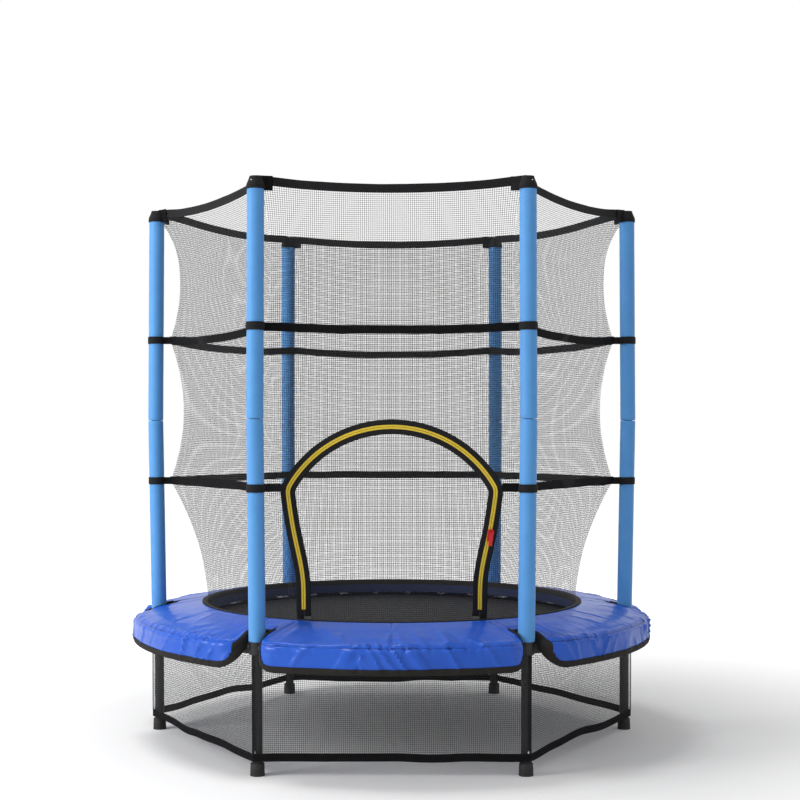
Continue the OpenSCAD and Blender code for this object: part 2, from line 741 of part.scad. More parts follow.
// Loop round the post's end, a short strap to the band and two patches on the corner
patch_w = 31;
patch_h = 38;
pocket_strap_w = 18;
loop_low = foam_top_z + 1.5;
loop_h = band_top_z - 1 - loop_low;
module corner_pockets() {
    loop_r = fitted_r + webbing_t;
    strap_from = net_top_r + band_t + 1;
    color("#1a1a1a") for (i = [1:sides]) {
        at_post(i) {
            difference() {
                union() {
                    upper_axis() translate([0, 0, loop_low - joint_z]) cylinder(r = loop_r, h = loop_h);
                    translate([strap_from, -pocket_strap_w / 2, loop_low])
                        cube([ring_r + post_lean - tube_r - strap_from, pocket_strap_w, loop_h]);
                }
                upper_axis() translate([0, 0, loop_low - joint_z - 2])
                    cylinder(r = fitted_r, h = loop_h + 4);
                upper_axis() translate([0, 0, bolt_z - joint_z]) rotate([0, 90, 0])
                    cylinder(r = shank_d / 2 + fit, h = tube_od);
            }
        }
        at_bay(i) for (x = [1 - net_top_r * sin(half), net_top_r * sin(half) - patch_w])
            translate([x, net_top_r * cos(half) + band_t + seat, band_top_z - 4 - patch_h])
            cube([patch_w - 1, webbing_t, patch_h]);
    }
}

// Loop round a foam sleeve with a strap to the net's corner, at height z
module belt_loop(z, lower) {
    r = sleeve_loop_r + webbing_t;
    post_at = lower ? ring_r + post_bow * (z - rail_z) / (joint_z - rail_z) :
        ring_r + post_bow - (post_bow - post_lean) * (z - joint_z) / (post_top_z - joint_z);
    strap_from = net_belt_r + net_t + 2 * webbing_t;
    translate([0, 0, z - belt_h / 2]) difference() {
        union() {
            translate([post_at, 0, 0]) cylinder(r = r, h = belt_h);
            translate([strap_from, -webbing_t, 0])
                cube([post_at - foam_od / 2 - strap_from, 2 * webbing_t, belt_h]);
        }
        translate([post_at, 0, -1]) cylinder(r = sleeve_loop_r, h = belt_h + 2);
    }
}

module belt(z, lower) {
    for (k = [1:sides]) if (k != front_bay) at_bay(k) bay_belt(z, net_foot_z);
    for (i = [1:sides]) at_post(i) belt_loop(z, lower);
}
module upper_belt() {
    color("#1d1d1f") {
        belt(upper_belt_z, false);
        at_bay(front_bay) bay_belt(upper_belt_z, split_z);
    }
}
// In the front bay the lower belt stops at the zip's tape
module front_belt_end(side) {
    stop = door_shoulder_x + edge_gap + 2;
    rows = [for (z = belt_rows(lower_belt_z)) [for (x = side > 0 ? [stop, belt_w] : [-belt_w, -stop])
        [x, belt_y, z]]];
    sheet(rows, [for (row = rows) [for (p = row) out(p, webbing_t)]]);
}
module lower_belt() {
    color("#1d1d1f") {
        belt(lower_belt_z, true);
        at_bay(front_bay) for (side = [-1, 1]) front_belt_end(side);
    }
}

// ---- leg net ----------------------------------------------------------------

// Distance of the leg net from the axis: round under the collars, flat at the hem
function leg_net_y(x, z) =
    let (w = leg_net_r * sin(half), t = (z - hem_z - hem_h) / (leg_net_top_z - hem_z - hem_h))
    leg_net_r * (cos(half) + (1 - cos(half)) * max(0, t) * (1 - pow(x / w, 2)));
module leg_net() {
    w = leg_net_r * sin(half) - seat / 2;
    color("#2b2b2b") for (k = [1:sides]) at_bay(k)
        net_panel([for (z = mesh_lines(hem_z + hem_h + seat, leg_net_top_z, 2))
            [for (x = mesh_lines(-w, w, 3)) [x, leg_net_y(x, z), z]]]);
}
module leg_net_hem() {
    w = leg_net_r * sin(half) - seat / 2;
    color("#1d1d1f") for (k = [1:sides]) at_bay(k)
        translate([-w, leg_net_r * cos(half), hem_z]) cube([2 * w, hem_t, hem_h]);
}

// ---- nodes ------------------------------------------------------------------

for (i = [1:sides]) {
    leg(i);
    foot(i);
    rail_arc(i);
    lower_post(i);
    foam_lower(i);
    foam_upper(i);
}
upper_posts();
corner_fittings();
leg_screws();
post_caps();
cap_bolts();
springs();
v_rings();
jump_mat();
mat_edge();
frame_pad();
pad_binding();
net_sides();
net_front();
net_door();
zip_half_net();
zip_half_door();
zip_slider();
pull_tab();
top_band();
corner_pockets();
upper_belt();
lower_belt();
leg_net();
leg_net_hem();
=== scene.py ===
"""A round trampoline with an enclosure net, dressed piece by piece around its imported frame."""
import math

import bmesh
import bpy
from mathutils import Matrix, Vector, noise


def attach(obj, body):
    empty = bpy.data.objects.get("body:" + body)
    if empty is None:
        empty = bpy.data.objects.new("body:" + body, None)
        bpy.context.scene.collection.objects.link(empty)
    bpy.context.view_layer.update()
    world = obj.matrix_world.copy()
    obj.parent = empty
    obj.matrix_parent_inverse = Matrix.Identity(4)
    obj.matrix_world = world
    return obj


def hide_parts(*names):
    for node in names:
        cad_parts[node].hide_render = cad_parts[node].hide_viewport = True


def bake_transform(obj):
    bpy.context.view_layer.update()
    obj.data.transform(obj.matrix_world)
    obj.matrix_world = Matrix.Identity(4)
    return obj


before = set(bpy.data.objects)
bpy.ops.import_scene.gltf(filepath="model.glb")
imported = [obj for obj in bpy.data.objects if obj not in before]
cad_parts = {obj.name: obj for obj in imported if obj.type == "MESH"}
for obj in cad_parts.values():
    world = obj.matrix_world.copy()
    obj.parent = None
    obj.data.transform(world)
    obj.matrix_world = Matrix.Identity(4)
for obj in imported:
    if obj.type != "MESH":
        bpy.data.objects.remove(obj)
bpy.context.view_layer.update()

# ---- Studio -------------------------------------------------------------------
# A pale floor under a white sky, a broad lamp overhead a little to the left, a soft
# one further left that rounds the foam, and a faint one in front. The lens looks
# almost level from the front.
PICTURE = 800
EYE = (0.0, -4.087, 0.825)
FOCAL, AXIS_X, AXIS_Y, TILT = 1476.5, 391.8, 465.3, 1.3  # pixels, and degrees down from level
SENSOR = 36.0
camera = bpy.data.objects.new("camera", bpy.data.cameras.new("camera"))
bpy.context.scene.collection.objects.link(camera)
bpy.context.scene.camera = camera
camera.data.sensor_width = SENSOR
camera.data.lens = FOCAL / PICTURE * SENSOR
camera.data.shift_x = 0.5 - AXIS_X / PICTURE
camera.data.shift_y = AXIS_Y / PICTURE - 0.5
camera.location = EYE
camera.rotation_euler = (math.radians(90 - TILT), 0, 0)
bpy.context.scene.view_settings.view_transform = "Standard"


class Shade:
    """A number or colour inside a finish. Sums and products of shades add their Math nodes."""

    def __init__(self, finish, socket):
        self.finish, self.socket = finish, socket

    def math(self, operation, other=0.0):
        return self.finish.add("Math", {"operation": operation}, {0: self, 1: other})

    def __add__(self, other):
        return self.math("ADD", other)

    def __sub__(self, other):
        return self.math("SUBTRACT", other)

    def __mul__(self, other):
        return self.math("MULTIPLY", other)

    def __rsub__(self, other):
        return self.finish.add("Math", {"operation": "SUBTRACT"}, {0: other, 1: self})

    __radd__ = __add__
    __rmul__ = __mul__

    def wave(self, pitch):
        """A sine of this length in metres."""
        return (self * (2 * math.pi / pitch)).math("SINE")


class Finish:
    """A material for one slot of the record, made from its main shader's sockets."""

    def __init__(self, name, slot, sockets):
        self.slot = slot
        self.material = bpy.data.materials.new(name)
        self.material.use_nodes = True
        self.tree = self.material.node_tree
        self.shader = self.tree.nodes["Principled BSDF"]
        self.set(sockets)

    def set(self, sockets):
        for key, value in sockets.items():
            self.feed(self.shader.inputs[key], value)

    def feed(self, socket, value):
        if isinstance(value, Shade):
            self.tree.links.new(value.socket, socket)
        else:
            socket.default_value = value

    def add(self, kind, settings, inputs, output=0):
        node = self.tree.nodes.new("ShaderNode" + kind)
        for key, value in settings.items():
            setattr(node, key, value)
        for key, value in inputs.items():
            self.feed(node.inputs[key], value)
        return Shade(self, node.outputs[output])

    def place(self, output="Object"):
        return self.add("TexCoord", {}, {}, output)

    def parts(self, output="Object"):
        """The three numbers of a place."""
        node = self.add("SeparateXYZ", {}, {0: self.place(output)}).socket.node
        return [Shade(self, socket) for socket in node.outputs]

    def cloud(self, size):
        """Noise whose lumps are about size metres across."""
        return self.add("TexNoise", {}, {"Vector": self.place(), "Scale": 1 / size, "Detail": 2.0})

    def tint(self, dark, pale, mask):
        """A colour from dark to pale as the mask goes from 0 to 1."""
        return self.add("Mix", {"data_type": "RGBA"}, {0: mask, 6: (*dark, 1), 7: (*pale, 1)}, 2)

    def relief(self, height, depth):
        """Bump of that depth in metres."""
        return self.add("Bump", {}, {"Height": height, "Distance": depth, "Strength": 1.0})


def background(tree):
    """A shade that is 1 for what the lens, a mirror or a pane sees directly."""
    path = tree.nodes.new("ShaderNodeLightPath")
    total = None
    for name in ("Is Camera Ray", "Is Glossy Ray", "Is Transmission Ray"):
        link = path.outputs[name]
        if total is not None:
            most = tree.nodes.new("ShaderNodeMath")
            most.operation = "MAXIMUM"
            tree.links.new(total, most.inputs[0])
            tree.links.new(link, most.inputs[1])
            link = most.outputs[0]
        total = link
    return total


SKY_LIGHT = 0.5
world = bpy.data.worlds.new("sky")
bpy.context.scene.world = world
world.use_nodes = True
sky = world.node_tree
strength = sky.nodes.new("ShaderNodeMapRange")
sky.links.new(background(sky), strength.inputs["Value"])
strength.inputs["To Min"].default_value = SKY_LIGHT
strength.inputs["To Max"].default_value = 1.0
sky.links.new(strength.outputs[0], sky.nodes["Background"].inputs["Strength"])
sky.nodes["Background"].inputs["Color"].default_value = (1, 1, 1, 1)

# The floor glows a little under the object and reaches white further out.
GLOW_FROM, GLOW_TO, GLOW_NEAR, GLOW_FAR = 0.9, 2.4, 0.06, 0.6
FLOOR_HALF = 30
bm = bmesh.new()
bmesh.ops.create_grid(bm, x_segments=2, y_segments=2, size=FLOOR_HALF)
mesh = bpy.data.meshes.new("floor")
bm.to_mesh(mesh)
bm.free()
floor = bpy.data.objects.new("floor", mesh)
bpy.context.scene.collection.objects.link(floor)
pale = Finish("floor", None, {
    "Base Color": (0.9, 0.9, 0.9, 1), "Roughness": 0.9, "Specular IOR Level": 0.0, "Emission Strength": 1.0})
far = pale.add("VectorMath", {"operation": "LENGTH"}, {0: pale.place()}, 1)
edge = pale.add("MapRange", {}, {0: far, 1: GLOW_FROM, 2: GLOW_TO, 3: GLOW_NEAR, 4: GLOW_FAR})
seen = Shade(pale, background(pale.tree))
pale.set({"Emission Color": pale.tint((0, 0, 0), (1, 1, 1), edge * seen)})
mesh.materials.append(pale.material)

# name, place, aimed at, size, watts
LAMPS = (
    ("overhead", (-1.15, -0.1, 4.2), (0, 0, 0.3), 1.5, 62),
    ("left", (-3.7, -1.9, 1.8), (0, 0, 0.8), 1.9, 105),
    ("front", (0.4, -5.0, 2.2), (0, 0, 0.7), 2.2, 14),
)
for name, spot, target, size, watts in LAMPS:
    lamp = bpy.data.objects.new(name, bpy.data.lights.new(name, "AREA"))
    bpy.context.scene.collection.objects.link(lamp)
    lamp.data.shape = "DISK"
    lamp.data.size = size
    lamp.data.energy = watts
    lamp.location = spot
    lamp.rotation_euler = (Vector(target) - Vector(spot)).to_track_quat("-Z", "Y").to_euler()

# ---- Legs and rail ---------------------------------------------------------------
# Straight legs, a bent rail and six fittings of steel tube under a black powder coat.
# The coat has a faint orange-peel skin and is a little worn where it is handled.
SIDES = 6
BAY = 2 * math.pi / SIDES
RING_R, TUBE_R = 0.645, 0.0125


def dress(finish, *nodes):
    """Gives CAD nodes their finish."""
    for node in nodes:
        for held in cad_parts[node].material_slots:
            held.material = finish.material


def numbered(*names):
    return [f"{name}_{i}" for name in names for i in range(1, SIDES + 1)]


coat = Finish("black_powder_coat", "black_paint", {"Specular IOR Level": 0.3})
coat.set({
    "Base Color": coat.tint((0.009, 0.0095, 0.011), (0.02, 0.021, 0.023), coat.cloud(0.05)),
    "Roughness": coat.cloud(0.02) * 0.18 + 0.32,
    "Normal": coat.relief(coat.cloud(0.0016), 0.00008),
})
dress(coat, *numbered("leg", "rail_arc"), "corner_fittings")

zinc = Finish("bright_zinc", "zinc", {"Metallic": 1.0})
zinc.set({
    "Base Color": zinc.tint((0.5, 0.51, 0.53), (0.74, 0.75, 0.77), zinc.cloud(0.01)),
    "Roughness": zinc.cloud(0.004) * 0.25 + 0.2,
    "Normal": zinc.relief(zinc.cloud(0.0008), 0.00004),
})
dress(zinc, "v_rings")
bright = Finish("polished_screw", "zinc", {"Metallic": 0.4, "Base Color": (0.86, 0.87, 0.88, 1)})
bright.set({
    "Roughness": bright.cloud(0.004) * 0.15 + 0.3,
    "Normal": bright.relief(bright.cloud(0.0008), 0.00003),
})
dress(bright, "leg_screws", "cap_bolts")

# ---- Feet ---------------------------------------------------------------------
# A moulded rubber boot on each leg: a straight skirt with a rounded rim, two grip
# rings and a slightly spread sole.


def blank():
    """An empty mesh with room for UVs."""
    bm = bmesh.new()
    bm.loops.layers.uv.verify()
    return bm


def turned(profile, steps=48):
    """Spins (radius, height) points round the Z axis. UVs run round and up, in metres."""
    bm = blank()
    uv = bm.loops.layers.uv.verify()
    verts = [bm.verts.new((r, 0, z)) for r, z in profile]
    edges = [bm.edges.new(pair) for pair in zip(verts, verts[1:])]
    bmesh.ops.spin(
        bm, geom=verts + edges, cent=(0, 0, 0), axis=(0, 0, 1), angle=2 * math.pi, steps=steps,
        use_merge=True)
    bmesh.ops.remove_doubles(bm, verts=bm.verts, dist=1e-6)
    bmesh.ops.recalc_face_normals(bm, faces=bm.faces)
    girth = 2 * math.pi * max(r for r, z in profile)
    for face in bm.faces:
        middle = face.calc_center_median()
        turn = math.atan2(middle.y, middle.x)
        for loop in face.loops:
            at = loop.vert.co
            swing = (math.atan2(at.y, at.x) - turn + math.pi) % (2 * math.pi) - math.pi
            loop[uv].uv = ((turn + swing) / (2 * math.pi) * girth, at.z)
    return bm


def pour(part, whole, places):
    """Adds a copy of the part to the whole mesh at each place."""
    mesh = bpy.data.meshes.new("part")
    part.to_mesh(mesh)
    part.free()
    for place in places:
        held = len(whole.verts)
        whole.from_mesh(mesh)
        whole.verts.ensure_lookup_table()
        bmesh.ops.transform(whole, matrix=place, verts=whole.verts[held:])
    bpy.data.meshes.remove(mesh)


def copies(part, places):
    """One mesh with a copy of the part at each place."""
    whole = bmesh.new()
    pour(part, whole, places)
    return whole


def piece(name, bm, finish, nodes=(), body="frame", smooth=35):
    """The finished object of a mesh. It stands for the CAD nodes named and rides on its body."""
    mesh = bpy.data.meshes.new(name)
    bm.to_mesh(mesh)
    bm.free()
    made = bpy.data.objects.new(name, mesh)
    bpy.context.scene.collection.objects.link(made)
    mesh.materials.append(finish.material)
    mesh.shade_smooth()
    mesh.set_sharp_from_angle(angle=math.radians(smooth))
    if nodes:
        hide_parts(*nodes)
    if body:
        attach(made, body)
    return made


def at_post(i, r=0.0, z=0.0):
    """The place at radius r and height z in front of post i."""
    return Matrix.Rotation(BAY * (i - 1), 4, "Z") @ Matrix.Translation((r, 0, z))


def at_bay(k):
    """The middle of bay k, with +Y outward."""
    return Matrix.Rotation(BAY * (k - 0.5) - math.pi / 2, 4, "Z")


POSTS = range(1, SIDES + 1)
FOOT_PROFILE = [
    (0, 0.0), (0.0172, 0.0), (0.018, 0.0008), (0.018, 0.003), (0.0175, 0.0045), (0.0172, 0.0085),
    (0.0176, 0.0095), (0.0176, 0.011), (0.0171, 0.012), (0.0171, 0.0155), (0.0175, 0.0165), (0.0175, 0.018),
    (0.017, 0.019), (0.0168, 0.0285), (0.0162, 0.0304), (0.0152, 0.031), (0.0129, 0.031), (0.0128, 0.004),
    (0, 0.004)]
boot = Finish("black_rubber", "rubber", {"Specular IOR Level": 0.35})
boot.set({
    "Base Color": boot.tint((0.009, 0.009, 0.009), (0.02, 0.019, 0.018), boot.cloud(0.012)),
    "Roughness": boot.cloud(0.006) * 0.2 + 0.55,
    "Normal": boot.relief(boot.cloud(0.0012), 0.0001),
})
for i in POSTS:
    piece(f"boot_{i}", copies(turned(FOOT_PROFILE), [at_post(i, RING_R)]), boot, [f"foot_{i}"])

# ---- Jumping mat -----------------------------------------------------------------
# A disc of tightly woven black polypropylene with webbing sewn round its edge. Short
# webbing tabs hold the V-rings that the springs hook into.
MAT_R, MAT_Z, MAT_T, EDGE_W, WEBBING_T = 0.54, 0.315, 0.0015, 0.028, 0.0015
ROUND = 120  # faces round the mat
WEAVE_PITCH = 0.0036
weave = Finish("mat_weave", "mat_weave", {"Specular IOR Level": 0.15})
x, y, _ = weave.parts()
cross = x.wave(WEAVE_PITCH) * y.wave(WEAVE_PITCH)
weave.set({
    "Base Color": weave.tint(
        (0.011, 0.011, 0.012), (0.032, 0.032, 0.034), cross * 0.35 + weave.cloud(0.08) * 0.6),
    "Roughness": 0.62,
    "Normal": weave.relief(cross, 0.00025),
})
mat = piece(
    "jumping_mat",
    turned([(0, MAT_Z), (0.2, MAT_Z), (MAT_R, MAT_Z), (MAT_R, MAT_Z + MAT_T), (0.3, MAT_Z + MAT_T),
            (0, MAT_Z + MAT_T)], ROUND),
    weave, ["jump_mat"], "mat")


def webbing(name, slot, dark, pale, height):
    """Woven webbing: ribs across, a chevron down the middle and stitches at each edge."""
    tape = Finish(name, slot, {"Specular IOR Level": 0.15})
    u, v, _ = tape.parts("UV")
    chevron = (u + (v - height / 2).math("ABSOLUTE")).wave(0.0035)
    ribs = v.wave(0.0011)
    from_edge = height / 2 - (v - height / 2).math("ABSOLUTE")
    row = (from_edge - 0.0032).math("ABSOLUTE").math("LESS_THAN", 0.0005)
    stitches = row * u.wave(0.0042).math("GREATER_THAN", -0.3)
    tape.set({
        "Base Color": tape.tint(dark, pale, chevron * 0.2 + stitches * 0.5 + tape.cloud(0.03) * 0.4),
        "Roughness": 0.78,
        "Normal": tape.relief(chevron * 0.5 + ribs * 0.35 + stitches * 1.5, 0.0002),
    })
    return tape


BLACK, CHARCOAL = (0.008, 0.008, 0.009), (0.024, 0.024, 0.026)
edging = webbing("mat_edging", "webbing", BLACK, CHARCOAL, EDGE_W)
top = MAT_Z + MAT_T
bm = turned([
    (MAT_R - EDGE_W, top), (MAT_R, top), (MAT_R, top + WEBBING_T), (MAT_R - EDGE_W, top + WEBBING_T),
    (MAT_R - EDGE_W, top)], ROUND)
uv = bm.loops.layers.uv.verify()
for face in bm.faces:
    for loop in face.loops:
        at = loop.vert.co
        loop[uv].uv = (loop[uv].uv.x, MAT_R - math.hypot(at.x, at.y))
piece("mat_edging", bm, edging, ["mat_edge"], "mat")

SPRINGS = 36
SPOKES = [Matrix.Rotation(2 * math.pi / SPRINGS * (n + 0.5), 4, "Z") for n in range(SPRINGS)]
TAB = (0.012, 0.022, 0.0026)
bm = blank()
bmesh.ops.create_cube(bm, size=1)
bmesh.ops.scale(bm, vec=TAB, verts=bm.verts)
bmesh.ops.bevel(bm, geom=bm.edges, offset=0.0009, segments=2, profile=0.5, affect="EDGES", material=-1)
bmesh.ops.translate(bm, vec=(MAT_R + 0.001, 0, MAT_Z + MAT_T / 2), verts=bm.verts)
piece("ring_tabs", copies(bm, SPOKES), edging, body="mat")

# ---- Springs ---------------------------------------------------------------------
# Close-wound zinc-plated coil springs. A hook at one end takes the V-ring, and the
# hook at the other goes into a slot in the rail.
WIRE_R, COIL_R, SPRING_Z = 0.00125, 0.00525, 0.31575
RING_END, RAIL_END, HOOK = 0.5571, 0.6322, 0.009
COIL_FROM, COIL_TO = RING_END + HOOK, RAIL_END - HOOK
TURNS = int((COIL_TO - COIL_FROM) / (2 * WIRE_R * 1.06))
STEPS, HOOK_STEPS, HOOK_R, HOOK_SWEEP = 12, 14, 0.0042, math.radians(300)


def wire(centre, across, steps, axis, angle, around=(0, 0, 0), drift=(0, 0, 0)):
    """A round wire, started square to the plane of across and spun about the axis."""
    bm = blank()
    ring = bmesh.ops.create_circle(bm, segments=6, radius=WIRE_R, cap_ends=False)["verts"]
    tilt = Vector((0, 0, 1)).rotation_difference(Vector(across)).to_matrix().to_4x4()
    bmesh.ops.transform(bm, matrix=Matrix.Translation(centre) @ tilt, verts=ring)
    bmesh.ops.spin(
        bm, geom=list(bm.verts) + list(bm.edges), cent=around, axis=axis, angle=angle, steps=steps,
        dvec=drift)
    bmesh.ops.holes_fill(bm, edges=[e for e in bm.edges if e.is_boundary])
    bmesh.ops.recalc_face_normals(bm, faces=bm.faces)
    return bm


coil = wire((COIL_FROM, COIL_R, SPRING_Z), (0, 0, 1), TURNS * STEPS, (1, 0, 0), 2 * math.pi * TURNS,
            (0, 0, SPRING_Z), ((COIL_TO - COIL_FROM) / (TURNS * STEPS), 0, 0))
for end, sign in ((COIL_FROM, -1), (COIL_TO, 1)):
    middle = end + sign * (HOOK - HOOK_R - WIRE_R)
    hook = wire((middle - sign * HOOK_R, 0, SPRING_Z), (0, 0, 1), HOOK_STEPS, (0, sign, 0), HOOK_SWEEP,
                (middle, 0, SPRING_Z))
    pour(hook, coil, [Matrix()])
for n, spoke in enumerate(SPOKES, 1):
    spring = piece(f"spring_{n}", copies(coil.copy(), [spoke]), zinc, ["springs"], None, 60)
    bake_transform(spring)
coil.free()

# ---- Frame pad -------------------------------------------------------------------
# A ring of glossy blue coated cloth over thin foam, laid on the springs and the rail,
# with a valance that hangs outside the rail and is cut out round each post. The cloth
# is gathered at the seam between the two, so it puckers there.
PAD_IN, PAD_OUT, EAR = 0.507, 0.697, 0.014
PAD_IN_Z, PAD_RAIL_Z, SEAM_Z, VALANCE_Z, UNDER_Z = 0.363, 0.341, 0.325, 0.262, 0.3228
NOTCH_R, NOTCH = 0.613, math.degrees(math.atan(0.028 / 0.697))
ROUND_W, ROUND_R, TUCK = 0.056, 0.041, 0.043
HALF = 30  # degrees from a post to the middle of a bay


def edge_radius(off):
    """Radius of the pad's outer edge, which stands out a little towards the posts."""
    return PAD_OUT + EAR * ((off - HALF) / HALF) ** 2


def rounding(off):
    """How far the pad's end is rounded away: 1 at the notch, 0 at ROUND_W from it."""
    side = 1 - max(0.0, min(1.0, math.radians(off - NOTCH) * PAD_OUT / ROUND_W))
    return 1 - math.sqrt(1 - side ** 2)


def valance_edge(off):
    """Height of the valance's lower edge, which curves up into the notch."""
    return VALANCE_Z + ROUND_R * rounding(off)


def pad_profile(off, notched):
    """The pad's outline at an angle from the nearest post."""
    out = edge_radius(off)
    trim = TUCK * rounding(off)
    low = valance_edge(max(off, NOTCH))
    points = [  # radius, height, steps to the next point
        (PAD_IN, UNDER_Z + 0.0052, 4), (PAD_IN, PAD_IN_Z - 0.007, 3), (PAD_IN + 0.006, PAD_IN_Z - 0.001, 4),
        (PAD_IN + 0.03, PAD_IN_Z, 8), (0.59, PAD_RAIL_Z + 0.0135, 9),
        (RING_R + 0.004, PAD_RAIL_Z + 0.001, 6), (out - 0.013 - trim, SEAM_Z + 0.005, 4),
        (out - 0.0045 - trim, SEAM_Z, 4), (out - 0.0037 - trim, SEAM_Z - 0.008, 11),
        (out - trim, low, 1), (out - 0.004 - trim, low, 8), (out - 0.009 - trim, SEAM_Z - 0.003, 3),
        (out - 0.026 - trim, UNDER_Z, 8), (PAD_IN + 0.024, 0.3245, 3)]
    if notched:
        cut, last = 5, 12
        for j in range(cut, last + 1):
            height = PAD_RAIL_Z + 0.004 + (UNDER_Z - PAD_RAIL_Z - 0.004) * (j - cut) / (last - cut)
            points[j] = (NOTCH_R, height, points[j][2])
    dense = []
    for (r, z, steps), (r1, z1, _) in zip(points, points[1:] + points[:1]):
        dense += [(r + (r1 - r) * n / steps, z + (z1 - z) * n / steps) for n in range(steps)]
    return dense


# The pad's columns stand at these degrees from a post, closer together beside the notch.
BAY_ANGLE, RUN = 2 * HALF, 106
flank = [NOTCH + 0.02 + a for a in (0.0, 0.06, 0.15, 0.28, 0.45, 0.65, 0.9, 1.2, 1.55)]
between = [flank[-1] + (BAY_ANGLE - 2 * flank[-1]) * (n + 1) / RUN for n in range(RUN - 1)]
bay_cuts = (
    [(a, True) for a in (0, 0.8, 1.6, NOTCH)] + [(a, False) for a in flank + between]
    + [(BAY_ANGLE - a, False) for a in reversed(flank)] + [(BAY_ANGLE - a, True) for a in (NOTCH, 1.6, 0.8)])
outline = [
    (BAY_ANGLE * bay + a, pad_profile(min(a, BAY_ANGLE - a), notched), notched)
    for bay in range(SIDES) for a, notched in bay_cuts]
ROWS = len(outline[0][1])
SEAM_ROW = 4 + 3 + 4 + 8 + 9 + 6 + 4
EDGE_ROW = SEAM_ROW + 4 + 11


def lump(turn, radius, down, size, seed):
    """Even noise on the pad's surface, from its angle and its way down from the seam."""
    spot = Vector((math.cos(turn) * radius, math.sin(turn) * radius, 0)) / size
    return noise.noise(spot + Vector((0, 0, down / size + seed)))


def ridge(x, y, z, keep):
    """A sharp crest where the noise crosses zero, and nothing where it is further off than keep."""
    return max(0.0, 1 - abs(noise.noise(Vector((x, y, z)))) / keep)


# The cloth dips at the seam, puffs out beside it and is pinched there in clusters. Folds run
# down the valance and a little way in over the top.
SEAM_DIP, SEAM_DIP_W, PUFF, PUFF_AT, PUFF_W = 0.0028, 0.0026, 0.0020, 0.011, 0.006
PINCH, PINCH_REACH, FOLD, TOP_FOLD, CREASE = 0.0078, 0.012, 0.0085, 0.006, 0.003
SEWN_DIP, SEWN_W, SEWN_OFF = 0.0026, 0.002, 4.3
FREE_ROWS = 6


def crease(turn, down, radius):
    """How far the cloth stands out, in metres. The way down from the seam is negative on top."""
    c, n = math.cos(turn), math.sin(turn)
    push = 0.0042 * lump(turn, radius, down, 0.12, 3.1) + 0.0014 * lump(turn, radius, down, 0.045, 9.7)
    push -= SEAM_DIP * math.exp(-(down / SEAM_DIP_W) ** 2)
    push += PUFF * math.exp(-((abs(down) - PUFF_AT) / PUFF_W) ** 2)
    cluster = max(0.0, min(1.0, 2.6 * lump(turn, radius, 0, 0.15, 8.4) + 0.6))
    push -= PINCH * cluster * ridge(c * 34, n * 34, 2.6 + down * 8, 0.2) * math.exp(-abs(down) / PINCH_REACH)
    lean = turn + (0.9 if lump(turn, radius, 0, 0.23, 2.2) > 0 else -0.9) * down
    fold = ridge(math.cos(lean) * 13, math.sin(lean) * 13, 6.0 + down * 5, 0.16) ** 1.5
    if down > 0:
        return push + FOLD * fold * (0.35 + 0.65 * cluster) * min(1.0, down / 0.008)
    across = ridge(c * 5, n * 5, 4.2 + down * 2, 0.07)
    inner = max(0.0, min(1.0, 1.9 + down / 0.08))
    near = TOP_FOLD * fold * cluster + CREASE * ridge(c * 21, n * 21, 8.8 + down * 6, 0.12)
    return (push + CREASE * across * min(1.0, -down / 0.02)) * inner + near * math.exp(down / 0.04)


def seam_lines(off_post, off_middle):
    """Sewn lines across the pad's top, beside each post and at the middle of each bay."""
    return -SEWN_DIP * (math.exp(-(off_post / SEWN_W) ** 2) + math.exp(-(off_middle / SEWN_W) ** 2))


bm = blank()
uv = bm.loops.layers.uv.verify()
columns = len(outline)
bmesh.ops.create_grid(bm, x_segments=columns, y_segments=ROWS, size=0.5)
row_layer = bm.verts.layers.int.new("row")
col_layer = bm.verts.layers.int.new("column")
spots = {}
for vert in bm.verts:
    i = round((vert.co.x + 0.5) * columns)
    j = round((vert.co.y + 0.5) * ROWS)
    angle, profile, notched = outline[i % columns]
    turn = math.radians(angle)
    r, z = profile[j % ROWS]
    vert[row_layer], vert[col_layer] = j % ROWS, i % columns
    below = SEAM_Z - z if j >= SEAM_ROW else r - profile[SEAM_ROW][0]
    spots[vert] = ((turn + 2 * math.pi * (i == columns)) * PAD_OUT, below)
    if FREE_ROWS < j % ROWS < EDGE_ROW and not notched:
        off = min(angle % BAY_ANGLE, BAY_ANGLE - angle % BAY_ANGLE)
        fade = min(1.0, (j % ROWS - FREE_ROWS) / 6) * min(1.0, (EDGE_ROW - j % ROWS) / 3)
        fade *= min(1.0, 0.2 + math.radians(off - NOTCH) * PAD_OUT / 0.02)
        push = crease(turn, below, 0.7) * fade
        if j % ROWS < SEAM_ROW:
            push += seam_lines(math.radians(off - SEWN_OFF) * r, math.radians(off - HALF) * r) * fade
            r, z = r + push * 0.15, z + push
        else:
            r, z = r + push, z + push * 0.1
    vert.co = (r * math.cos(turn), r * math.sin(turn), z)
for face in bm.faces:
    for loop in face.loops:
        loop[uv].uv = spots[loop.vert]
bmesh.ops.remove_doubles(bm, verts=bm.verts, dist=1e-6)
bmesh.ops.recalc_face_normals(bm, faces=bm.faces)

